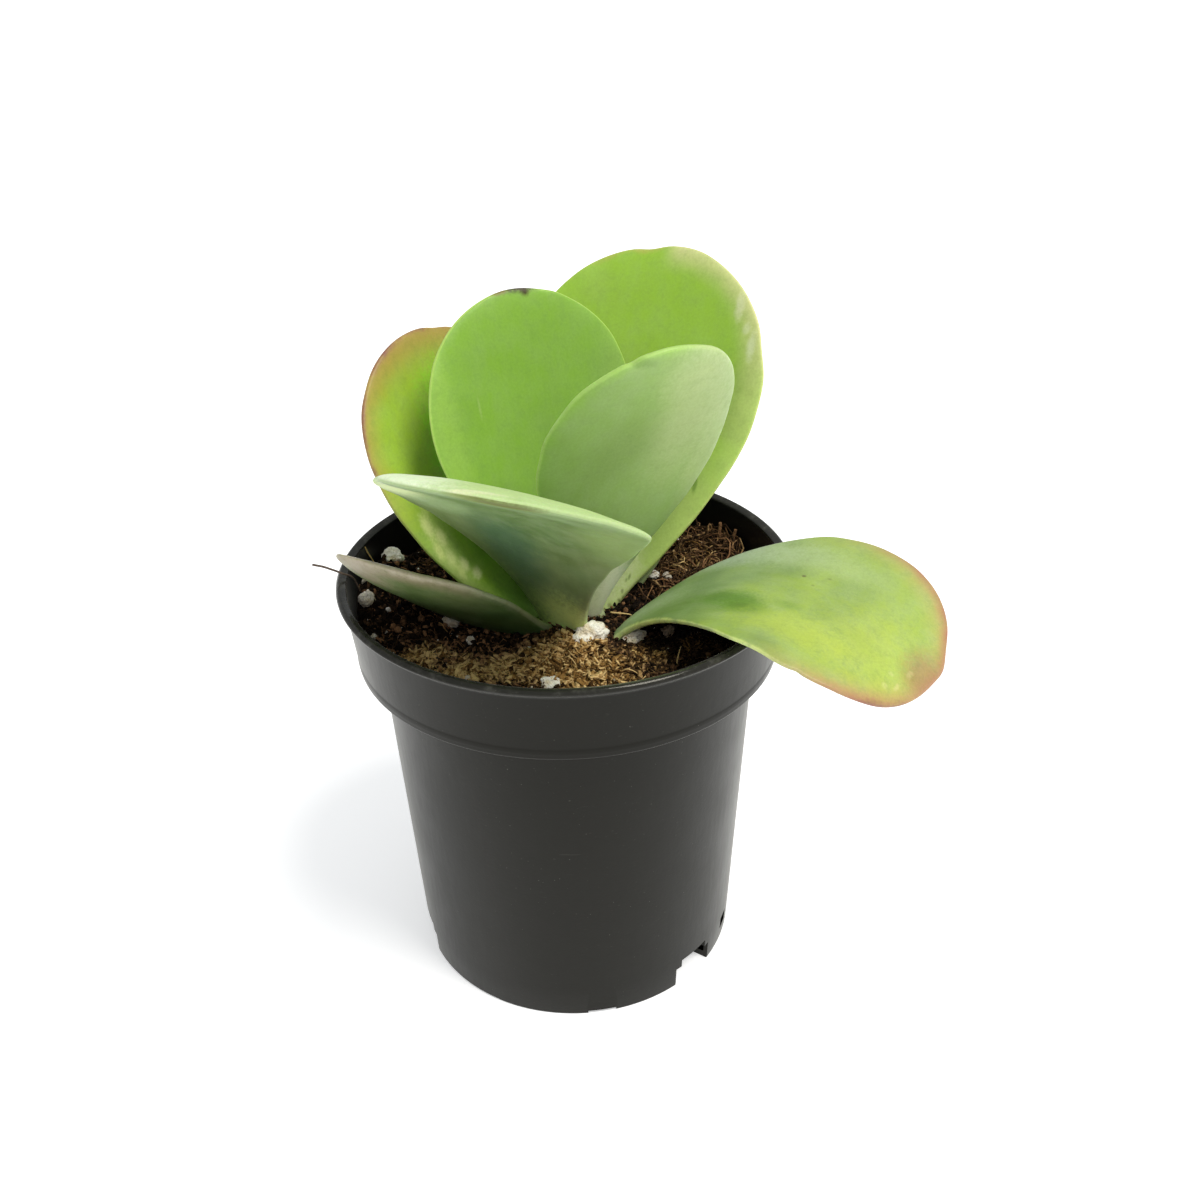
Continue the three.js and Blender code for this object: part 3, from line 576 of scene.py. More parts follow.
tilt = random.normal(0, 0.42, CHIPS)
lean = random.normal(0, 0.42, CHIPS)
heading = random.uniform(0, 2 * np.pi, CHIPS)
forward = np.stack([np.cos(heading) * np.cos(tilt), np.sin(heading) * np.cos(tilt), np.sin(tilt)], -1)
sideways = np.stack([-np.sin(heading), np.cos(heading), 0 * heading], -1)
upwards = np.cross(forward, sideways)
sideways, upwards = (sideways * np.cos(lean)[:, None] + upwards * np.sin(lean)[:, None],
                     upwards * np.cos(lean)[:, None] - sideways * np.sin(lean)[:, None])
turn = np.stack([forward, sideways, upwards], 1)
chip_z = lumpy_height(chip_x, chip_y) + random.uniform(0.0, 0.9, CHIPS) * coir_share(chip_x, chip_y) + 0.12
chips = strip @ turn + np.stack([chip_x, chip_y, chip_z], -1)[:, None]
chip_faces = np.array(tube_faces(CHIP_STATIONS, CHIP_SIDES))
chip_piece = copies("coir_chips", chips, chip_faces[:, ::-1], mix_material)
chip_tone = np.repeat(random.uniform(0.15, 1.0, CHIPS), each)
finish_litter(chip_piece, np.repeat(chip_x, each), np.repeat(chip_y, each), chip_tone)


def tube_rings(path, radius, sides):
    """Rings round paths: at each point a regular polygon, square to the way the path runs there."""
    along = np.gradient(path, axis=-2)
    along = along / np.linalg.norm(along, axis=-1, keepdims=True)
    side = np.cross(along, (0.2, 0.1, 1.0))
    side = side / np.linalg.norm(side, axis=-1, keepdims=True)
    up = np.cross(side, along)
    angle = 2 * np.pi * np.arange(sides)[:, None] / sides
    ring = side[..., None, :] * np.cos(angle) + up[..., None, :] * np.sin(angle)
    return path[..., None, :] + ring * radius[..., None, None]


# A fibre wanders over the bed with a steady bend and a little shake. Both ends dip into it. In the heap
# at the back right the fibres are longer and thicker, and curl round the heap's middle as in a nest.
in_nest = random.uniform(0, 1, FIBRES) < NEST_SHARE
nest_x, nest_y = spread_over_soil(random, FIBRES, NEST[2])
start_x, start_y = spread_over_soil(random, FIBRES, rim - 1)
start_x = np.where(in_nest, NEST[0] + nest_x, start_x)
start_y = np.where(in_nest, NEST[1] + nest_y, start_y)
length = random.uniform(1.2, 5.5, FIBRES) * np.where(in_nest, 3.4, 1.0)
curl = 2.6 / np.maximum(np.hypot(nest_x, nest_y), 2.0) * length / 16
bend = random.normal(0, 0.26, FIBRES) + np.where(in_nest, curl, 0)
around = np.arctan2(nest_y, nest_x) + np.pi / 2 + random.normal(0, 0.7, FIBRES)
heading = np.where(in_nest, around, random.uniform(0, 2 * np.pi, FIBRES))[:, None]
heading = heading + bend[:, None] * np.arange(FIBRE_STEPS)
heading = heading + np.cumsum(random.normal(0, 0.12, (FIBRES, FIBRE_STEPS)), 1)
step = (length / FIBRE_STEPS)[:, None]
fibre_x = start_x[:, None] + np.cumsum(step * np.cos(heading), 1)
fibre_y = start_y[:, None] + np.cumsum(step * np.sin(heading), 1)
out = np.maximum(np.hypot(fibre_x, fibre_y) / (rim - 0.4), 1)
fibre_x, fibre_y = fibre_x / out, fibre_y / out
t = np.linspace(-1, 1, FIBRE_STEPS)
arch = random.uniform(0.3, 1.5, (FIBRES, 1)) * np.where(in_nest, 2.4, 1.0)[:, None]
fibre_z = lumpy_height(fibre_x, fibre_y) - 0.30 + arch * (1 - t**2)
fibre_paths = np.stack([fibre_x, fibre_y, fibre_z], -1)
girth = random.uniform(0.05, 0.14, (FIBRES, 1)) * np.where(in_nest, 2.1, 1.0)[:, None]
fibre_rings = tube_rings(fibre_paths, girth * (1 - 0.6 * t**4), FIBRE_SIDES)
each = FIBRE_STEPS * FIBRE_SIDES
one_fibre = tube_faces(FIBRE_STEPS, FIBRE_SIDES)
fibre_faces = [[number + first for number in face]
               for first in range(0, FIBRES * each, each) for face in one_fibre]
fibre_piece = new_object("coir_fibres", fibre_rings.reshape(-1, 3) * MM, fibre_faces, mix_material)
fibre_tone = 0.25 + 0.75 * random.uniform(0, 1, FIBRES) ** 1.4
fibre_tone = np.repeat(np.where(in_nest, 0.15 + 0.85 * fibre_tone, fibre_tone), each)
finish_litter(fibre_piece, np.repeat(start_x, each), np.repeat(start_y, each), fibre_tone)


def straw_path(ends, steps):
    """A parabola that starts at the first point, is drawn towards the second and stops at the third."""
    first, middle, last = (np.array(end) for end in ends)
    t = np.linspace(0, 1, steps)[:, None]
    return (1 - t) ** 2 * first + 2 * t * (1 - t) * (2 * middle - (first + last) / 2) + t**2 * last


# Pale straws lie loose on top, each with a place of its own.
straw_points, straw_faces, straw_tone = [], [], []
for *ends, radius, tone_value in STRAWS:
    path = straw_path(ends, STRAW_STEPS)
    path = path + 0.1 * lattice_noise(path, 1.1, 8)[:, None]
    rings = tube_rings(path, radius * np.linspace(1, 0.55, STRAW_STEPS), STRAW_SIDES)
    points, faces = skin(rings * MM)
    straw_faces += [[number + len(straw_tone) for number in face] for face in faces]
    straw_points.extend(points)
    straw_tone += [tone_value] * len(points)
straws = new_object("loose_straws", np.array(straw_points), straw_faces, mix_material)
mark(straws, "coir", np.ones(len(straw_points)))
mark(straws, "tone", straw_tone)
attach(straws, "root")

# Two broken stalks stand up out of the heap at the back right.
stalk_steps = np.linspace(-0.3, 1, 8)[:, None]
stalks = []
for (x, y), lean, height in STALKS:
    foot = np.array([x, y, float(soil_height(x, y))])
    path = foot + stalk_steps * np.array([*lean, height])
    path = path + 0.12 * lattice_noise(path, 1.1, 9)[:, None] * (1, 1, 0)
    stalks.append(tube_rings(path, 0.5 - 0.12 * stalk_steps[:, 0], 10))
for number, rings in enumerate(stalks, 1):
    points, faces = skin(rings * MM)
    stalk = new_object(f"broken_stalk_{number}", points, faces, mix_material)
    finish_litter(stalk, points[:, 0] / MM, points[:, 1] / MM, np.full(len(points), 0.8))

# ---------------------------------------------------------------- perlite
# Grains of popped volcanic glass, mixed in to keep the soil open. They are white and chalky, knobbly, full of
# burst bubbles, and stained cream or brown where they touch the mix.
GRAINS = sorted(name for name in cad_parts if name.startswith("perlite"))
GRAIN_RINGS = 48
# Some grains are longer or flatter than their solids: shares of the reach in X, Y and Z. One is a thin curl.
GRAIN_SHAPES = {
    "perlite_01": (1.12, 1.0, 0.80),
    "perlite_03": (1.15, 1.0, 0.75),
    "perlite_04": (1.18, 1.0, 0.95),
    "perlite_06": (1.3, 1.0, 1.45),
    "perlite_09": (1.45, 1.2, 1.25),
    "perlite_10": (0.85, 0.9, 0.9),
    "perlite_11": (1.10, 1.0, 0.60),
}
CRESCENT = "perlite_06"
# These grains are darkened all over, by at least this share: perlite_13 with painted shade from the low right
# leaf, perlite_03 and perlite_05 partly with painted shade and partly with stain, perlite_07 and perlite_10
# with stain. Grains not listed are stained only underneath.
STAIN_AND_PAINTED_SHADE = {"perlite_03": 0.3, "perlite_05": 0.3, "perlite_07": 0.35, "perlite_10": 0.45, "perlite_13": 1.0}
POLE_GAP = 0.02             # radians between a grain's first ring and its pole
DUST = 90
# The first bits of dust have a place and size of their own.
SMALL_BITS = [
    (-40.7, -5.7, 0.75),
    (-20.7, -30.7, 0.95),
    (-24.5, -12.0, 0.4),
    (10.5, -33.0, 0.5),
    (31.0, 3.0, 0.6),
]

perlite, tree, shader = new_material("perlite")
place = add(tree, "TexCoord")["Object"]
stain = noise(tree, place, 420, 3)
pores = add(tree, "TexVoronoi", {"Vector": place, "Scale": 1900.0})["Distance"]
white = blend_colour(tree, rise(tree, stain, 0.42, 0.72), tint(250, 244, 230), tint(220, 204, 172))
low = add(tree, "Attribute", attribute_name="low")["Fac"]
# The brown blend is stain underneath each grain, and painted shade on the grains that lie in a leaf's shadow.
stained_and_shaded = blend_colour(tree, maths(tree, "MULTIPLY", low, 0.85), white, tint(124, 94, 62))
in_pores = rise(tree, pores, 0.22, 0.05, 0.0, 0.5)
tree.links.new(blend_colour(tree, in_pores, stained_and_shaded, tint(150, 135, 108)), shader["Base Color"])
shader["Roughness"].default_value = 0.85
shader["Subsurface Weight"].default_value = 0.15
shader["Subsurface Radius"].default_value = (0.6, 0.55, 0.5)
shader["Subsurface Scale"].default_value = 0.001
pitted = bump(tree, pores, 0.0004, 0.7)
tree.links.new(bump(tree, noise(tree, place, 2600, 3), 0.00025, 0.8, pitted), shader["Normal"])

for number, node in enumerate(GRAINS, 1):
    lowest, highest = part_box(node)
    middle, reach = np.array(lowest + highest) / 2, np.array(highest - lowest) / 2
    reach = reach * GRAIN_SHAPES.get(node, (1, 1, 1))
    polar = np.linspace(POLE_GAP, np.pi - POLE_GAP, GRAIN_RINGS)[:, None]
    around = 2 * np.pi * np.arange(2 * GRAIN_RINGS) / (2 * GRAIN_RINGS)
    out, up = np.sin(polar), np.cos(polar)
    unit = np.stack([out * np.cos(around), out * np.sin(around), up + 0 * around], -1)
    lobes = 0.40 * lattice_noise(unit + number, 0.85, number)
    spurs = 0.20 * np.abs(lattice_noise(unit + number, 0.42, 50 + number))
    pits = 0.05 * lattice_noise(unit + number, 0.14, 90 + number)
    blob = unit * (0.85 + lobes + spurs + pits)[..., None]
    blob = (blob - (blob.max((0, 1)) + blob.min((0, 1))) / 2) / (np.ptp(blob, (0, 1)) / 2)
    if node == CRESCENT:
        turn = np.pi / 4 * (3 - 0.95 * blob[..., 0])
        radius = 1 + 0.22 * blob[..., 2] * (1 - 0.75 * blob[..., 0] ** 2)
        radius = 1.6 * radius
        blob = np.stack([1 + radius * np.cos(turn), 0.3 * blob[..., 1], radius * np.sin(turn) - 0.6], -1)
    points, faces = skin(blob * reach + middle)
    grain_piece = new_object(f"perlite_grain_{number:02d}", points, faces, perlite)
    low_side = np.clip(0.15 - (points[:, 2] - middle[2]) / reach[2], 0, 1) ** 1.5
    mark(grain_piece, "low", np.maximum(low_side, STAIN_AND_PAINTED_SHADE.get(node, 0)))
    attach(grain_piece, "root")
    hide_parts(node)

# Perlite dust and small broken bits lie about between the grains, in the same make as the crumbs of peat.
dust_x, dust_y = spread_over_soil(random, DUST, rim - 1.5)
dust_size = 0.16 + 0.34 * random.uniform(0, 1, DUST) ** 3
for number, (x, y, size) in enumerate(SMALL_BITS):
    dust_x[number], dust_y[number], dust_size[number] = x, y, size
stretch = random.uniform(0.6, 1.2, (DUST, 1, 3))
bits = ball * random.uniform(0.6, 1.25, (DUST, corners, 1)) * stretch * dust_size[:, None, None]
dust_z = lumpy_height(dust_x, dust_y) + 0.45 + 0.4 * dust_size
bits = bits @ twisted(random, DUST) + np.stack([dust_x, dust_y, dust_z], -1)[:, None]
dust_piece = copies("perlite_bits", bits, ball_faces, perlite)
mark(dust_piece, "low", np.repeat(random.uniform(0, 0.5, DUST), corners))
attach(dust_piece, "root")

# ---------------------------------------------------------------- stem
# The short stout stem that the leaves stand on, fleshy and pale. Nearly all of it is under the soil, and its
# tip carries the young pair.
STEM_X, STEM_Y = 3.5, -4.0
STEM_RADIUS = 5.4
STEM_TIP_RADIUS = 2.4
STEM_FOOT, STEM_SHOULDER, STEM_TOP = 72.0, 91.0, 98.0

skin_green, tree, shader = new_material("stem_skin")
place = add(tree, "TexCoord")["Object"]
mottle = noise(tree, place, 700, 3)
tree.links.new(blend_colour(tree, mottle, tint(150, 172, 108), tint(196, 204, 158)), shader["Base Color"])
shader["Roughness"].default_value = 0.6
tree.links.new(bump(tree, mottle, 0.0003, 0.5), shader["Normal"])

waist = (STEM_RADIUS + STEM_TIP_RADIUS) / 2
stem_profile = np.array([
    (STEM_TIP_RADIUS / 3, STEM_TOP),
    (STEM_TIP_RADIUS, STEM_TOP - 0.6),
    (waist, (STEM_SHOULDER + STEM_TOP) / 2),
    (STEM_RADIUS, STEM_SHOULDER),
    (STEM_RADIUS, STEM_FOOT + STEM_RADIUS),
    (waist, STEM_FOOT),
    (waist / 3, STEM_FOOT),
])
# The ridges scale every point by up to 3% from the stem's axis at floor level, so they stretch its height
# too.
stem_axis = np.array([STEM_X, STEM_Y, 0])
rings = turned(rounded(stem_profile, 1.6, 8)[::-1], 48) + stem_axis
ridges = 1 + 0.03 * lattice_noise(rings, 2.0, 21)[..., None]
points, faces = skin(((rings - stem_axis) * ridges + stem_axis) * MM)
stem = new_object("stem_core", points, faces, skin_green)
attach(stem, "root")
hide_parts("stem")

# ---------------------------------------------------------------- leaves
# Thick fleshy leaves, round as paddles, in pairs that clasp the stem. The skin is smooth, with a dusty bloom.
# The margins close to a thin pale edge, which turns red or brown on the older leaves.
LEAF_THICKNESS = 3.3
FOOT_SWELL = 1.5            # a foot is this many times as thick as the blade, where the leaf gives no swell
FOOT_TAPER = 0.5            # share of the length over which it thins to the blade
HEEL_WIDTH = 0.75           # width of the heel, inside the stem, as a share of the foot's
CLOSING_POWER = 0.35
TIP_TAPER = 12.0            # the blade thins over this length before the tip
TIP_REACH = 0.998           # the last section stands this far round the quarter turn to the tip
MIDRIB_STEPS = 800
HEAVE_SHARE = 0.35          # a heaved foot is back on the stem's line from this share of the length on
ACROSS = 96                 # points round a section
BELOW_WIDEST = 56           # sections below the widest place, and above it
ABOVE_WIDEST = 44
HEEL_SECTIONS = 8
BLOOM_TINT = (184, 204, 156)
SMUDGE_TINT = (196, 204, 172)
USUAL_SMUDGE = 0.26
SKIN_TINT = (226, 230, 214)
FLECK_TINT = (150, 150, 96)
# Each leaf, its shape first. Azimuth and rise point its midrib at the foot, in degrees. At the tip it has
# swung by swing and points up by rise_tip, and bend shifts the change of rise towards one end. Roll turns
# the blade about its midrib. Cup lifts its edges. Widest and foot are shares of the length and the width,
# and flare shapes the outline between them. Skew makes one half wider, and slip moves its widest place.
# Out and up say where the leaf leaves the stem. Swell is how many times as thick the foot is, heave moves
# the foot in millimetres, and tip_power thins the tip.
# Its finish follows. Tints run from foot to tip, on the face towards the stem and on the back. Bloom and
# smudge are the strengths of its pale dusting and its darker clouds. The rim is a thin line of its own
# tint.
# A margin is a soft band along the left edge (1), the right one (-1) or both (0). It sets in between two
# shares of the length, and has a width, tint and strength. A mark lies at a distance from the foot and
# from the midrib, on the upper face (1), the back (-1) or both (0), with its reach both ways, tint and
# strength. A nick pulls the outline in at such a place, by a depth, over a reach. A negative depth pushes
# it out.
LEAVES = [
    dict(
        name="leaf_left_inner", azimuth=137.5, swing=-19, rise=72.5, rise_tip=79.5, length=71, width=51,
        roll=1, roll_tip=-2, cup=0.12, widest=0.62, foot=0.23, out=3.5, up=94.5, flare=1.3,
        top=((122, 158, 66), (134, 178, 60)), back=((170, 182, 130), (132, 160, 96)),
        bloom=0.12, rim=((200, 228, 120), 0.6),
        margins=[],
        marks=[
            (0, 71.3, -2.0, 1.2, 5.6, (58, 46, 18), 1.0),
            (1, 70.3, -2.6, 1.1, 1.2, (66, 54, 22), 0.95),
            (0, 70.9, 3.4, 0.8, 2.2, (128, 104, 52), 0.8),
            (1, 48.5, 13.0, 2.4, 0.3, (178, 200, 120), 0.35),
            (1, 40.0, 22.0, 30.0, 4.0, (164, 200, 94), 0.45),
            (1, 42.0, -22.0, 26.0, 3.5, (156, 192, 90), 0.4),
        ],
        nicks=[(71.0, 1.0, -0.25, 4.0), (68.5, -9.5, -0.2, 2.0)],
    ),
    dict(
        name="leaf_right_inner", azimuth=-53.5, swing=7, rise=77, rise_tip=57, length=78.5, width=41,
        roll=-24, roll_tip=-13, cup=0.07, widest=0.66, foot=0.16, out=2, up=93.5, flare=1.5, bend=0.8,
        top=((150, 170, 92), (140, 176, 70)), back=((140, 168, 96), (152, 184, 104)),
        bloom=0.3, rim=((206, 228, 146), 0.5),
        margins=[(-1, 0.45, 0.8, 2.6, (156, 200, 84), 0.6)],
        marks=[
            (-1, 62.0, 9.0, 22.0, 9.0, (190, 202, 150), 0.6),
            (-1, 72.0, 3.0, 7.0, 7.0, (192, 208, 150), 0.5),
            (-1, 48.0, 17.5, 22.0, 4.5, (186, 200, 146), 0.5),
            (-1, 52.0, -4.0, 10.0, 7.0, (132, 156, 88), 0.4),
            (-1, 75.0, -9.0, 1.2, 3.0, (96, 128, 52), 0.3),
            (-1, 8.0, 3.6, 13.0, 5.4, (240, 244, 214), 1.0),
            (-1, 3.0, -1.0, 6.0, 5.0, (226, 230, 190), 0.8),
        ],
        nicks=[(74.1, -10.5, 0.55, 0.8), (78.5, 2.0, 0.35, 3.0)],
    ),
    dict(
        name="leaf_back", azimuth=62.5, swing=5, rise=48, rise_tip=63.5, length=88.5, width=59.5, roll=3,
        roll_tip=-5, cup=0.15, widest=0.67, foot=0.17, out=4.5, up=90, flare=1.3, skew=0.02, slip=-0.04,
        top=((146, 166, 84), (152, 194, 58)), back=((160, 176, 124), (132, 160, 96)),
        bloom=0.12, rim=((206, 196, 122), 0.4),
        margins=[
            (-1, 0.5, 0.78, 7.5, (222, 214, 160), 0.75),
            (-1, 0.85, 0.6, 8.5, (200, 224, 124), 0.55),
            (1, 0.82, 0.97, 1.6, (196, 160, 104), 0.5),
        ],
        marks=[
            (1, 75.5, -20.2, 3.4, 1.2, (232, 230, 196), 0.45),
            (1, 66.5, -25.0, 3.6, 1.2, (232, 236, 204), 0.45),
            (1, 70.5, -22.8, 1.4, 1.0, (232, 234, 200), 0.35),
            (1, 80.0, 18.0, 6.0, 4.0, (166, 200, 90), 0.3),
            (1, 24.0, -9.0, 14.0, 6.0, (132, 156, 74), 0.55),
            (1, 33.6, -17.9, 2.0, 0.6, (74, 112, 30), 0.6),
            (1, 13.0, -2.0, 14.0, 7.0, (210, 214, 172), 0.75),
            (1, 9.8, -7.4, 0.8, 0.3, (78, 100, 34), 0.6),
            (1, 8.9, -6.9, 0.5, 0.3, (78, 100, 34), 0.5),
            (1, 6.2, -6.6, 0.6, 0.3, (84, 98, 36), 0.6),
            (1, 4.9, -6.9, 0.5, 0.25, (84, 98, 36), 0.5),
            (1, 4.0, -6.2, 0.4, 0.3, (84, 94, 40), 0.6),
            (1, 7.5, -4.4, 0.5, 0.4, (90, 98, 44), 0.6),
            (1, 2.2, -4.6, 0.7, 0.5, (96, 96, 44), 0.6),
        ],
        nicks=[(88.5, 5.3, 0.7, 2.4), (88.0, -7.0, -0.25, 4.0)],
    ),
    dict(
        name="leaf_front", azimuth=-121, swing=41, rise=72, rise_tip=19, length=88.5, width=53.5, roll=-10,
        roll_tip=-16, cup=-0.06, widest=0.77, foot=0.24, out=7.5, up=91.5, flare=1.5, skew=0.03, slip=-0.05,
        # The back's dark tints are partly painted shade, where the back faces down into the shade over the
        # soil.
        top=((150, 170, 95), (188, 214, 140)), back=((108, 124, 74), (92, 118, 66)),
        bloom=0.25, rim=((206, 222, 164), 0.5),
        margins=[(0, 0.5, 0.85, 2.4, (160, 182, 126), 0.5)],
        marks=[
            (1, 76.0, -18.0, 16.0, 11.0, (232, 244, 210), 0.9),
            (-1, 87.6, -3.0, 1.2, 9.5, (124, 136, 62), 0.75),
            (-1, 87.8, 0.0, 0.85, 6.5, (92, 96, 36), 0.85),
            (1, 87.4, -6.0, 0.7, 7.0, (236, 232, 196), 0.5),
            (-1, 62.0, 22.0, 22.0, 8.0, (134, 158, 92), 0.6),
            (-1, 60.5, -21.0, 7.5, 6.0, (222, 236, 178), 0.9),
            (-1, 54.0, -14.0, 8.0, 7.0, (160, 184, 134), 0.6),
            (-1, 78.0, 0.0, 8.0, 18.0, (140, 164, 118), 0.5),
            (-1, 6.0, 4.0, 12.0, 9.0, (222, 240, 146), 0.85),
            # A dark bluish cloud in the middle of the back, painted shade.
            (-1, 34.0, -4.0, 20.0, 8.0, (70, 106, 86), 0.6),
        ],
        nicks=[
            (86.0, -14.0, 0.3, 2.0),
            (88.5, 3.0, 0.3, 2.5),
            (70.0, -25.0, 2.7, 4.6),
            (65.0, -26.0, 0.9, 2.5),
        ],
    ),
    dict(
        name="leaf_left_outer", azimuth=155.5, swing=-15, rise=48.5, rise_tip=75.5, length=76.5, width=51.5,
        roll=-10, roll_tip=3, cup=0.06, widest=0.69, foot=0.29, out=5.5, up=86.5, flare=1.3,
        top=((108, 146, 44), (162, 196, 60)), back=((150, 168, 118), (132, 156, 96)),
        bloom=0.15, rim=((168, 176, 96), 0.5), smudge=0.35,
        margins=[
            (0, 0.42, 0.8, 6.5, (182, 154, 80), 0.8),
            (0, 0.80, 1.0, 15.0, (178, 150, 76), 0.8),
            (0, 0.50, 0.85, 1.6, (160, 112, 84), 0.6),
            (0, 0.52, 0.72, 0.9, (128, 80, 74), 0.9),
            (1, 0.55, 0.3, 4.5, (178, 200, 110), 0.6),
        ],
        marks=[
            # The first three marks are painted light and shade: a saturated green where the left inner leaf's
            # shadow falls, painted in for light through the leaf, and two darker greens painted over the
            # shaded lower part.
            (1, 43.0, -4.0, 23.0, 11.5, (112, 236, 40), 0.8),
            (1, 24.0, 6.0, 16.0, 5.0, (88, 132, 42), 0.6),
            (1, 10.0, 4.0, 9.0, 7.0, (90, 124, 52), 0.6),
            (1, 37.2, 19.0, 3.0, 1.6, (214, 220, 146), 0.75),
            (1, 33.5, 16.8, 2.2, 1.6, (216, 222, 152), 0.8),
            (1, 31.5, 19.0, 2.4, 1.2, (212, 218, 142), 0.75),
            (1, 28.6, 17.0, 2.2, 1.5, (214, 220, 152), 0.65),
            (1, 26.0, 14.6, 1.8, 1.3, (220, 224, 164), 0.7),
            (1, 24.6, 16.4, 2.0, 0.9, (206, 212, 140), 0.55),
            (1, 22.8, 12.6, 1.5, 1.4, (222, 226, 170), 0.65),
            (1, 41.0, 17.5, 3.0, 1.0, (200, 210, 130), 0.4),
            (1, 30.0, 17.0, 12.0, 3.5, (190, 206, 124), 0.35),
        ],
        nicks=[(75.5, -6.0, 0.4, 2.0), (68.0, 19.5, 0.2, 3.0)],
    ),
    dict(
        name="leaf_low_right", azimuth=-18, swing=-17, rise=49.5, rise_tip=-41, length=80, width=50,
        roll=-7, roll_tip=9, cup=0.12, widest=0.68, foot=0.16, out=8.5, up=87.5, flare=1.5, swell=0.8,
        heave=(0.0, -6.0, 3.8),
        top=((104, 132, 66), (160, 184, 76)), back=((150, 168, 118), (146, 166, 106)),
        bloom=0.35, rim=((212, 222, 164), 0.5), smudge=0.42,
        margins=[
            (0, 0.50, 0.85, 7.0, (198, 166, 106), 0.65),
            (0, 0.58, 0.86, 3.6, (176, 116, 96), 0.8),
            (0, 0.62, 0.85, 0.9, (160, 100, 84), 0.6),
            (0, 0.70, 0.88, 0.3, (136, 80, 82), 0.8),
            (-1, 0.75, 0.45, 0.8, (228, 238, 140), 0.85),
        ],
        marks=[
            (1, 26.0, 16.0, 22.0, 6.0, (172, 188, 158), 0.6),
            (1, 8.0, 0.0, 14.0, 6.0, (168, 186, 148), 0.6),
            (1, 46.0, 14.0, 14.0, 5.0, (178, 198, 140), 0.4),
            (1, 34.0, -6.0, 7.5, 3.8, (88, 130, 22), 0.8),
            (1, 38.0, -9.5, 6.5, 3.4, (98, 136, 26), 0.75),
            (1, 37.2, -9.0, 2.6, 1.2, (84, 116, 32), 0.4),
            (1, 29.0, -5.0, 5.0, 2.0, (92, 124, 44), 0.5),
            (1, 46.0, -5.0, 3.5, 1.8, (130, 160, 62), 0.5),
            (1, 45.6, 7.1, 0.5, 0.4, (96, 88, 60), 0.8),
            (1, 50.6, 8.5, 0.45, 0.35, (110, 110, 64), 0.4),
            (1, 48.3, 4.7, 0.4, 0.35, (110, 110, 64), 0.4),
            (1, 66.0, -6.0, 12.0, 12.0, (188, 204, 84), 0.5),
            (1, 52.0, -13.0, 14.0, 6.0, (190, 206, 78), 0.5),
            (0, 77.0, 0.0, 5.2, 6.4, (164, 112, 90), 0.6),
            (1, 74.6, -8.5, 0.5, 1.3, (222, 208, 150), 0.4),
            (1, 72.0, -7.0, 0.8, 0.6, (214, 214, 140), 0.35),
            (1, 75.0, -3.0, 0.7, 1.3, (222, 204, 146), 0.3),
            (1, 72.5, -11.0, 0.8, 0.8, (220, 216, 146), 0.35),
        ],
        nicks=[(77.5, 11.5, 0.3, 3.0), (79.3, 5.5, -0.5, 2.2), (56.3, -25.0, 0.4, 0.8)],
    ),
    dict(
        name="leaf_low_left", azimuth=199, swing=14, rise=25, rise_tip=46.5, length=56.5, width=40,
        roll=34, roll_tip=16, cup=0.14, widest=0.54, foot=0.33, out=7, up=87, flare=1.5, skew=0.05,
        slip=-0.08,
        # The back's dark greens are partly painted shade.
        top=((128, 152, 88), (150, 158, 104)), back=((62, 98, 38), (92, 106, 60)),
        bloom=0.15, rim=((172, 172, 142), 0.5), smudge=0.6, tip_power=0.7,
        margins=[
            (0, 0.55, 0.90, 6.0, (150, 132, 104), 0.6),
            (1, 0.38, 0.85, 6.5, (130, 122, 96), 0.75),
            (1, 0.05, 0.50, 1.5, (134, 144, 108), 0.6),
            # A thin pale band along the upper edge, partly blush and partly a painted highlight.
            (1, 0.55, 0.90, 1.8, (178, 162, 142), 0.8),
        ],
        marks=[(-1, 53.0, 0.0, 9.0, 8.0, (152, 138, 116), 0.75)],
        nicks=[],
    ),
    dict(
        name="leaf_low_back", azimuth=68.5, swing=-3, rise=45.5, rise_tip=55.5, length=55, width=33.5,
        roll=0, roll_tip=-24, cup=0.16, widest=0.61, foot=0.16, out=5, up=81, flare=1.7,
        top=((160, 178, 120), (146, 174, 92)), back=((160, 176, 124), (138, 160, 104)),
        bloom=0.3, rim=((204, 216, 150), 0.25),
        margins=[],
        marks=[],
        nicks=[],
    ),
]


def blade_frame(leaf, u):
    """Directions along, across and square to the blade at shares u of its length. Azimuth and roll change
    evenly from foot to tip, and rise on u raised to the bend. Across is level before the roll turns it about
    the way along."""
    azimuth = np.radians(leaf["azimuth"] + leaf["swing"] * u)
    lift = np.radians(leaf["rise"] + (leaf["rise_tip"] - leaf["rise"]) * u ** leaf.get("bend", 1))
    roll = np.radians(leaf["roll"] + (leaf["roll_tip"] - leaf["roll"]) * u)[:, None]
    along = np.stack([np.cos(lift) * np.cos(azimuth), np.cos(lift) * np.sin(azimuth), np.sin(lift)], -1)
    level = np.stack([-np.sin(azimuth), np.cos(azimuth), 0 * u], -1)
    across = np.cos(roll) * level + np.sin(roll) * np.cross(along, level)
    return along, across, np.cross(along, across)


def blade_width(leaf, u, side):
    """Half width as a share of the widest: from the foot it opens on a sine raised to the flare, and from the
    widest place, which slips by side, it closes on a quarter of an ellipse."""
    widest = leaf["widest"] - side * leaf.get("slip", 0)
    opening = np.sin(np.pi / 2 * np.clip(u / widest, 0, 1)) ** leaf["flare"]
    closing = np.sqrt(np.clip(1 - np.clip((u - widest) / (1 - widest), 0, 1) ** 2, 0, 1))
    return np.where(u < widest, leaf["foot"] + (1 - leaf["foot"]) * opening, closing)


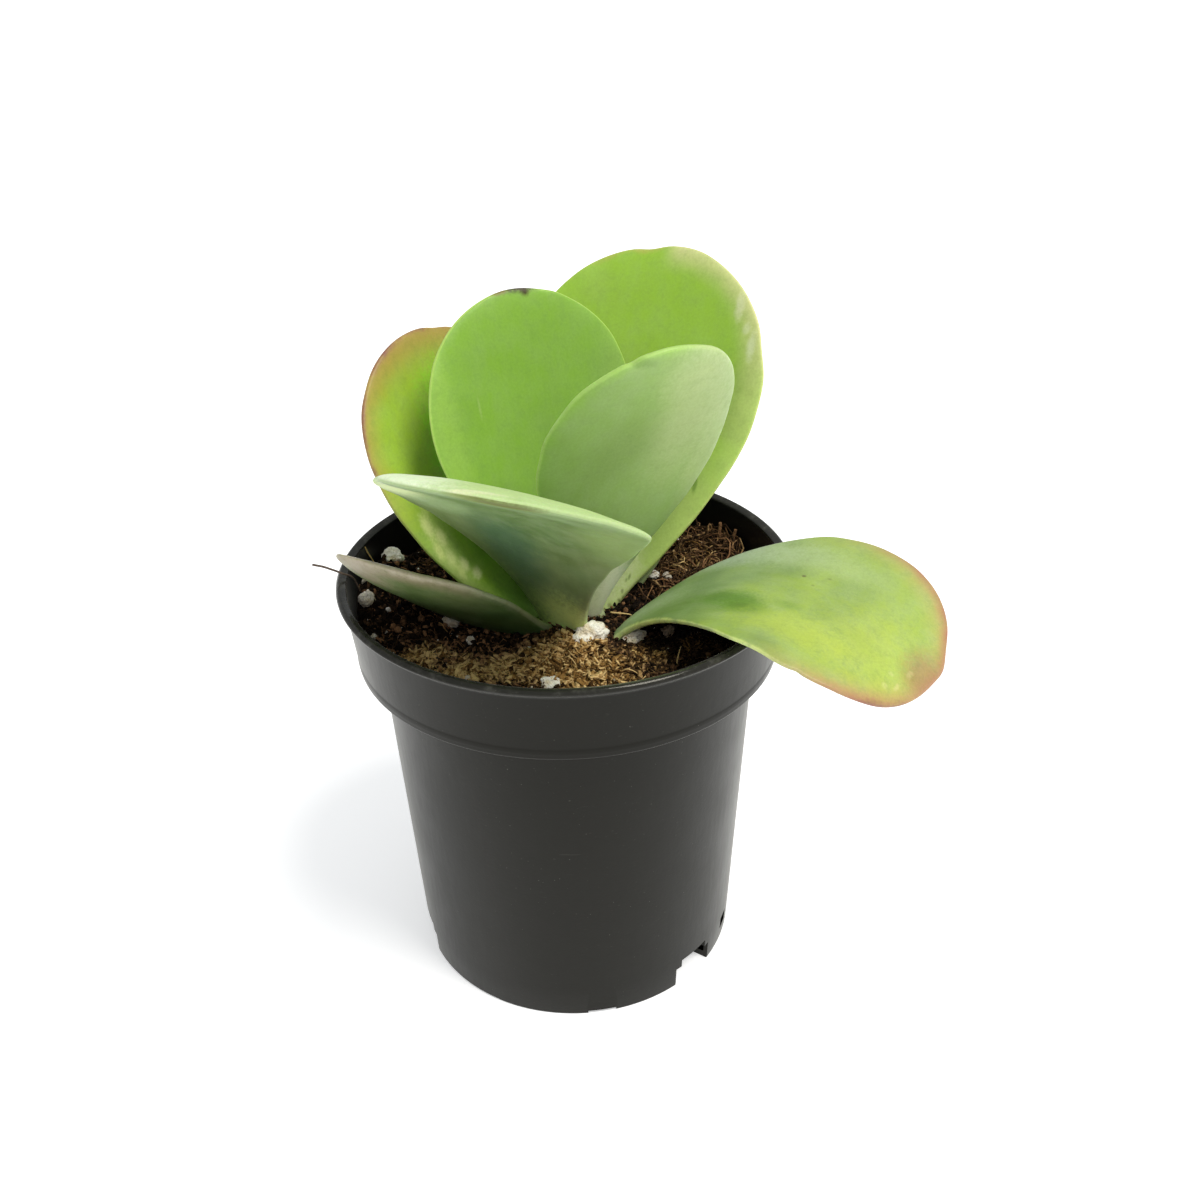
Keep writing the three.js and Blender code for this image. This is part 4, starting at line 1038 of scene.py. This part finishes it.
def half_widths(leaf, u):
    """The two half widths in millimetres, on the right of the midrib and on its left. The skew makes them
    unlike."""
    half = leaf["width"] / 2
    skew = leaf.get("skew", 0)
    return half * (1 - skew) * blade_width(leaf, u, -1), half * (1 + skew) * blade_width(leaf, u, 1)


def leaf_skin(leaf, thickness):
    """Points and faces of a leaf, with its shading values. A section is a lens: half width times a cosine
    across, and half thickness times a sine raised to twice the closing power. It is bent to a parabola by the
    cup, buckled a little by noise, and carried along the midrib, which is the running sum of the directions
    along the blade. The heave moves the midrib by the square of what is left to HEAVE_SHARE. The thickness
    falls from the swollen foot by a square, and to the tip by a parabola raised to the tip power. Each nick
    adds a bell-shaped pull towards the middle of the blade. The heel joins the foot to the stem's inside."""
    widest = leaf["widest"]
    lower = widest * np.linspace(0, 1, BELOW_WIDEST, endpoint=False)
    upper = widest + (1 - widest) * np.sin(np.linspace(0, TIP_REACH * np.pi / 2, ABOVE_WIDEST))
    u = np.concatenate([lower, upper])
    fine = np.linspace(0, 1, MIDRIB_STEPS + 1)
    steps = blade_frame(leaf, fine)[0]
    run = np.vstack([np.zeros(3), np.cumsum((steps[1:] + steps[:-1]) / 2, 0)])
    run = run * leaf["length"] / MIDRIB_STEPS
    turn = math.radians(leaf["azimuth"])
    out, up = leaf["out"], leaf["up"]
    foot = np.array([STEM_X + out * math.cos(turn), STEM_Y + out * math.sin(turn), up])
    midrib = foot + np.stack([np.interp(u, fine, run[:, axis]) for axis in range(3)], -1)
    heave = np.array(leaf.get("heave", (0, 0, 0)))
    midrib = midrib + heave * np.clip(1 - u / HEAVE_SHARE, 0, 1)[:, None] ** 2
    along, across, square = blade_frame(leaf, u)

    theta = 2 * np.pi * np.arange(ACROSS) / ACROSS
    right, left = half_widths(leaf, u)
    x = np.where(np.cos(theta) > 0, left[:, None], right[:, None]) * np.cos(theta)
    swell = 1 + (leaf.get("swell", FOOT_SWELL) - 1) * np.clip(1 - u / FOOT_TAPER, 0, 1) ** 2
    to_tip = np.clip((1 - u) * leaf["length"] / TIP_TAPER, 0, 1)
    thick = thickness * swell * (1 - (1 - to_tip) ** 2) ** leaf.get("tip_power", CLOSING_POWER)
    lens = np.sign(np.sin(theta)) * np.abs(np.sin(theta)) ** (2 * CLOSING_POWER)
    lift = leaf["cup"] * x**2 / (leaf["width"] / 2)
    flat = np.stack([u[:, None] * leaf["length"] + 0 * x, x, 0 * x], -1)
    seed = len(leaf["name"]) + int(leaf["length"])
    ragged = 1 + 0.010 * lattice_noise(flat * (1, 0, 0) + np.sign(x)[..., None] * 40, 6.5, seed)
    buckle = 0.45 * lattice_noise(flat, 17.0, seed) + 0.12 * lattice_noise(flat, 5.0, seed + 1)
    edge = (x / (leaf["width"] / 2)) ** 2 * np.clip(u / 0.4, 0, 1)[:, None]
    lift = lift + buckle * (0.35 + edge)
    centre = np.array([widest * leaf["length"], 0])
    pull = np.zeros((*x.shape, 2))
    for *at, depth, reach in leaf["nicks"]:
        inwards = (centre - at) / np.linalg.norm(centre - at)
        near = np.exp(-np.sum((flat[..., :2] - at) ** 2, -1) / (2 * reach**2))
        pull = pull + depth * near[..., None] * inwards
    sideways = (x * ragged + pull[..., 1])[..., None]
    blade = midrib[:, None] + along[:, None] * pull[..., :1] + across[:, None] * sideways
    blade = blade + square[:, None] * (lift + lens * thick[:, None] / 2)[..., None]

    heel = np.array([STEM_X, STEM_Y, up - out])
    heel_ring = heel + (blade[0] - midrib[0]) * HEEL_WIDTH
    back = np.linspace(0, 1, HEEL_SECTIONS, endpoint=False)[:, None, None]
    rings = np.concatenate([heel_ring + (blade[0] - heel_ring) * back, blade])
    points, faces = skin(rings[:, ::-1] * MM)

    run_up = u * leaf["length"]
    outline = np.concatenate([np.stack([run_up, left], -1), np.stack([run_up, -right], -1)[::-1]])
    inset = np.min(np.linalg.norm(flat[:, :, None, :2] - outline, axis=-1), axis=-1)
    share = u[:, None] + 0 * x
    face = np.sin(theta) + 0 * u[:, None]

    def whole(values):
        """A value for every point of the skin: the heel's sections repeat the first one."""
        rows = np.concatenate([np.repeat(values[:1], HEEL_SECTIONS, 0), values])[:, ::-1]
        return np.concatenate([rows.ravel(), rows[[0, -1]].mean(1)])

    values = dict(share=share, face=face, inset=inset, along=flat[..., 0], across=x)
    return points, faces, {name: whole(value) for name, value in values.items()}


def leaf_material(leaf):
    """The leaf's skin: its upper face and its back each have their own tints from foot to tip, under a dusty
    bloom in clouds and streaks. Its margins and its rim follow the edge, its own marks lie over them, with
    frayed outlines, and smudges, fine grain and flecks lie on top."""
    material, tree, shader = new_material(leaf["name"] + "_skin")
    place = add(tree, "TexCoord")["Object"]

    def value(name):
        return add(tree, "Attribute", attribute_name=name)["Fac"]

    share, inset = value("share"), value("inset")
    above = rise(tree, value("face"), -0.12, 0.12)
    sheet = add(tree, "CombineXYZ", {0: value("along"), 1: value("across")})[0]
    clouds = noise(tree, place, 45, 2)
    dust = noise(tree, place, 210, 5, 0.65)
    fine = noise(tree, place, 1500, 3)
    streaks = noise(tree, add(tree, "Mapping", {"Vector": sheet, "Scale": (0.1, 0.45, 1)})[0], 1.0, 3)
    climb = maths(tree, "ADD", share, rise(tree, clouds, 0.3, 0.7, -0.22, 0.22))
    faces = [blend_colour(tree, rise(tree, climb, 0.1, 0.85), tint(*leaf[key][0]), tint(*leaf[key][1]))
             for key in ("back", "top")]
    colour = blend_colour(tree, above, *faces)
    patchy = maths(tree, "ADD", dust, maths(tree, "MULTIPLY", streaks, 0.35))
    dusting = maths(tree, "MULTIPLY", rise(tree, patchy, 0.4, 1.0), leaf["bloom"])
    colour = blend_colour(tree, dusting, colour, tint(*BLOOM_TINT))
    line_tint, line_strength = leaf["rim"]
    colour = blend_colour(tree, rise(tree, inset, 0.5, 0.1, 0.0, line_strength), colour, tint(*line_tint))
    ruffled = maths(tree, "ADD", inset, maths(tree, "MULTIPLY", maths(tree, "ADD", clouds, dust), 3.0))
    for side, start, full, width, shade, strength in leaf["margins"]:
        edge = rise(tree, ruffled, width + 3.0, 2.4)
        band = maths(tree, "MULTIPLY", edge, rise(tree, share, start, full, 0.0, strength))
        if side:
            band = maths(tree, "MULTIPLY", band, rise(tree, value("across"), -3.0 * side, 3.0 * side))
        colour = blend_colour(tree, band, colour, tint(*shade))
    frayed = maths(tree, "MULTIPLY", maths(tree, "ADD", dust, fine), 0.7)
    for side, from_foot, from_midrib, long, wide, shade, strength in leaf["marks"]:
        scale = (1 / long, 1 / wide, 0)
        centred = {"Vector": sheet, "Location": (-from_foot / long, -from_midrib / wide, 0), "Scale": scale}
        spot = add(tree, "Mapping", centred)[0]
        away = maths(tree, "ADD", add(tree, "VectorMath", {0: spot}, operation="LENGTH")["Value"], frayed)
        amount = rise(tree, away, 2.1, 1.0, 0.0, strength)
        if side:
            amount = maths(tree, "MULTIPLY", amount, rise(tree, above, 0.5 - 0.5 * side, 0.5 + 0.5 * side))
        colour = blend_colour(tree, amount, colour, tint(*shade))
    smudged = rise(tree, noise(tree, place, 420, 6, 0.8), 0.44, 0.70, 0.0, leaf.get("smudge", USUAL_SMUDGE))
    colour = blend_colour(tree, smudged, colour, tint(*SMUDGE_TINT), "MULTIPLY")
    grained = rise(tree, noise(tree, place, 1900, 2, 0.7), 0.35, 0.65, 0.0, 0.3)
    colour = blend_colour(tree, grained, colour, tint(*SKIN_TINT), "MULTIPLY")
    fleck = rise(tree, noise(tree, place, 900, 2), 0.72, 0.78, 0.0, 0.25)
    colour = blend_colour(tree, fleck, colour, tint(*FLECK_TINT))
    tree.links.new(colour, shader["Base Color"])
    tree.links.new(rise(tree, dust, 0.3, 0.8, 0.42, 0.58), shader["Roughness"])
    shader["Specular IOR Level"].default_value = 0.4
    shader["Subsurface Weight"].default_value = 0.2
    shader["Subsurface Radius"].default_value = (0.6, 1.0, 0.25)
    shader["Subsurface Scale"].default_value = 0.002
    wrinkled = bump(tree, streaks, 0.0003, 0.12, bump(tree, dust, 0.0002, 0.25))
    tree.links.new(bump(tree, fine, 0.00006, 0.5, wrinkled), shader["Normal"])
    return material


def make_leaf(leaf, thickness):
    """One leaf: its skin, its material and its place on the plant."""
    points, faces, values = leaf_skin(leaf, thickness)
    piece = new_object(leaf["name"] + "_blade", points, faces, leaf_material(leaf))
    for name, numbers in values.items():
        mark(piece, name, numbers)
    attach(piece, "root")
    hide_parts(leaf["name"])


for leaf in LEAVES:
    make_leaf(leaf, LEAF_THICKNESS)

# ---------------------------------------------------------------- young pair
# The newest two leaves stand upright at the growing tip, face to face, small and thickly bloomed.
BUD_THICKNESS = 2.0
YOUNG = dict(
    top=((150, 172, 100), (146, 178, 84)), back=((168, 184, 134), (160, 184, 124)),
    bloom=0.5, rim=((204, 216, 150), 0.2), margins=[], marks=[], nicks=[],
)
BUDS = [
    dict(name="bud_leaf_right", azimuth=47, swing=0, rise=78, rise_tip=86, length=15.5, width=9.5, roll=0,
         roll_tip=0, cup=0.16, widest=0.6, foot=0.4, out=1.6, up=96.5, flare=1.2, **YOUNG),
    dict(name="bud_leaf_left", azimuth=227, swing=0, rise=80, rise_tip=88, length=13, width=8.5, roll=0,
         roll_tip=0, cup=0.16, widest=0.6, foot=0.4, out=1.6, up=96.5, flare=1.2, **YOUNG),
]
for leaf in BUDS:
    make_leaf(leaf, BUD_THICKNESS)

# ---------------------------------------------------------------- whisker
# One dry dark root fibre leaves the soil at the left wall and springs out over the lip.
WHISKER_ROUTE = np.array([
    (-47.1, -0.3, 93.5),
    (-47.6, -1.2, 98.4),
    (-48.5, -3.2, 102.6),
    (-50.4, -4.8, 104.4),
    (-53, -5, 105.8),
    (-56.7, -4.3, 106.5),
])
WHISKER_RADIUS = 0.3
WHISKER_STEPS = 60
SMOOTHING = 15              # points in the running mean that rounds the route's corners

dry, tree, shader = new_material("dry_root")
place = add(tree, "TexCoord")["Object"]
bark = noise(tree, place, 1800, 3)
tree.links.new(blend_colour(tree, bark, tint(52, 44, 40), tint(110, 92, 78)), shader["Base Color"])
shader["Roughness"].default_value = 0.8

knots = np.arange(len(WHISKER_ROUTE))
sharp = np.linspace(0, len(WHISKER_ROUTE) - 1, WHISKER_STEPS)
route = np.stack([np.interp(sharp, knots, WHISKER_ROUTE[:, axis]) for axis in range(3)], -1)
window = np.hanning(SMOOTHING) / np.hanning(SMOOTHING).sum()
padded = np.pad(route, ((SMOOTHING // 2,) * 2, (0, 0)), mode="reflect", reflect_type="odd")
route = np.stack([np.convolve(padded[:, axis], window, "valid") for axis in range(3)], -1)
route = route + 0.1 * lattice_noise(route, 2.6, 31)[:, None]
points, faces = skin(tube_rings(route, WHISKER_RADIUS * np.linspace(0.7, 0.9, len(route)), 10) * MM)
whisker = new_object("root_whisker", points, faces, dry)
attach(whisker, "root")
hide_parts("whisker")
